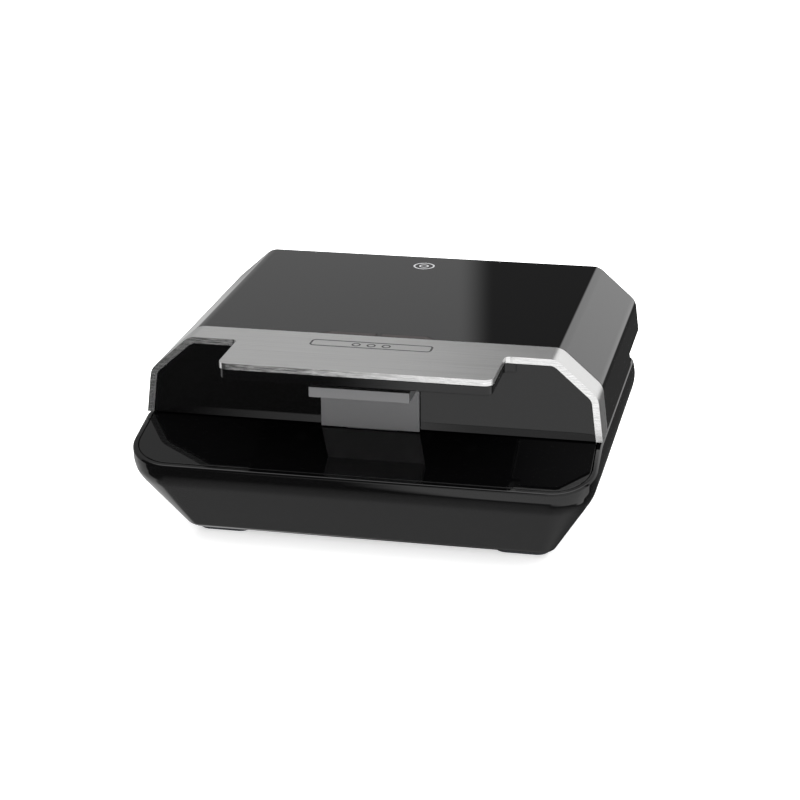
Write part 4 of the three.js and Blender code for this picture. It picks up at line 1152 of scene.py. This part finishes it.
def make_floor():
    half = FLOOR_HALF_WIDTH
    mesh = bpy.data.meshes.new("floor")
    corners = [(-half, -half, 0), (half, -half, 0), (half, half, 0), (-half, half, 0)]
    mesh.from_pydata(corners, [], [(0, 1, 2, 3)])
    floor = bpy.data.objects.new("floor", mesh)
    bpy.context.scene.collection.objects.link(floor)
    g = Graph("pale_floor", (0.9, 0.9, 0.9), 0.9)
    g.shader.inputs["Specular IOR Level"].default_value = 0.0
    g.shader.inputs["Emission Color"].default_value = (1, 1, 1, 1)
    g.shader.inputs["Emission Strength"].default_value = 0.6
    mesh.materials.append(g.material)
    floor.visible_glossy = False


LEFT = -99  # where the azimuth starts and ends, on the object's left
RIGHT = 263


class Sky:
    """The studio round the object, as soft panels of light painted on the world by direction."""

    def __init__(self, ambient):
        world = bpy.data.worlds.new("studio")
        world.use_nodes = True
        bpy.context.scene.world = world
        self.tree = world.node_tree
        self.tree.nodes.clear()
        coordinates = self.tree.nodes.new("ShaderNodeTexCoord")
        split = self.tree.nodes.new("ShaderNodeSeparateXYZ")
        self.tree.links.new(coordinates.outputs["Generated"], split.inputs[0])
        # The azimuth runs from +Y towards +X, and wraps at the left, from 262 round to -98 degrees.
        behind = self.math("ARCTAN2", split.outputs["X"], split.outputs["Y"])
        wraps = self.math("LESS_THAN", behind, math.radians(-98))
        self.azimuth = self.math("ADD", behind, self.math("MULTIPLY", wraps, math.tau))
        self.elevation = self.math("ARCSINE", split.outputs["Z"])
        self.total = ambient

    def math(self, operation, *values):
        made = self.tree.nodes.new("ShaderNodeMath")
        made.operation = operation
        for socket, value in zip(made.inputs, values):
            if isinstance(value, bpy.types.NodeSocket):
                self.tree.links.new(value, socket)
            else:
                socket.default_value = value
        return made.outputs[0]

    def edge(self, value, middle, width):
        """0 below the middle of a soft edge and 1 above it."""
        made = self.tree.nodes.new("ShaderNodeMapRange")
        made.interpolation_type = "SMOOTHSTEP"
        self.tree.links.new(value, made.inputs["Value"])
        made.inputs["From Min"].default_value = math.radians(middle - width / 2)
        made.inputs["From Max"].default_value = math.radians(middle + width / 2)
        return made.outputs["Result"]

    def panel(self, strength, azimuths, elevations, soft):
        """A lit panel between two azimuths and two elevations; soft gives the width of its edges."""
        inside = self.edge(self.azimuth, azimuths[0], soft[0])
        inside = self.math("SUBTRACT", inside, self.edge(self.azimuth, azimuths[1], soft[0]))
        over = self.edge(self.elevation, elevations[0], soft[1])
        over = self.math("SUBTRACT", over, self.edge(self.elevation, elevations[1], soft[1]))
        light = self.math("MULTIPLY", self.math("MULTIPLY", inside, over), strength)
        self.total = self.math("ADD", self.total, light)

    def finish(self):
        background = self.tree.nodes.new("ShaderNodeBackground")
        output = self.tree.nodes.new("ShaderNodeOutputWorld")
        self.tree.links.new(self.total, background.inputs["Color"])
        self.tree.links.new(background.outputs[0], output.inputs["Surface"])


def make_world():
    sky = Sky(0.06)
    # Behind the object: a mid-grey wall on the left, a dark gap, and a bright screen on the right.
    sky.panel(0.35, (LEFT, -10.3), (1, 56), (1, 6))
    sky.panel(1.0, (2, 80), (-5, 56), (5, 5))
    # The soft box overhead, the ground below and a low wall behind on the left.
    sky.panel(1.8, (LEFT, RIGHT), (60, 95), (1, 12))
    sky.panel(0.21, (LEFT, RIGHT), (-95, -53), (1, 30))
    sky.panel(0.6, (LEFT, -19), (-55, -1), (4, 6))
    # On the right and in front: a low bright screen, a strip beside it and a softer screen above.
    sky.panel(1.0, (65, 193), (-42, -3), (3, 8))
    sky.panel(1.0, (191, 196), (-14, -3), (3, 4))
    sky.panel(0.8, (90, 193), (0, 55), (6, 8))
    sky.finish()


def area_light(name, location, size, power, glossy):
    data = bpy.data.lights.new(name, "AREA")
    data.shape = "RECTANGLE"
    data.size, data.size_y = size
    data.energy = power
    light = bpy.data.objects.new(name, data)
    bpy.context.scene.collection.objects.link(light)
    light.location = location
    light.rotation_euler = (-Vector(location)).to_track_quat("-Z", "Y").to_euler()
    light.visible_glossy = glossy
    return light


def make_lights():
    area_light("overhead", (0, 0, 2.4), (5, 5), 160, False)
    area_light("front_fill", (0.3, -2.4, 1.2), (1.6, 1.2), 10, False)
    scene = bpy.context.scene
    scene.view_settings.view_transform = "Standard"
    scene.view_settings.look = "None"


make_camera()
make_lid_shell()
make_band()
make_grip()
make_front_panel()
make_marks()
make_base_shell()
make_deck()
make_feet()
for plate_side in ("lower", "upper"):
    make_plate(plate_side)
make_latch()
dress_the_rest()
make_floor()
make_world()
make_lights()
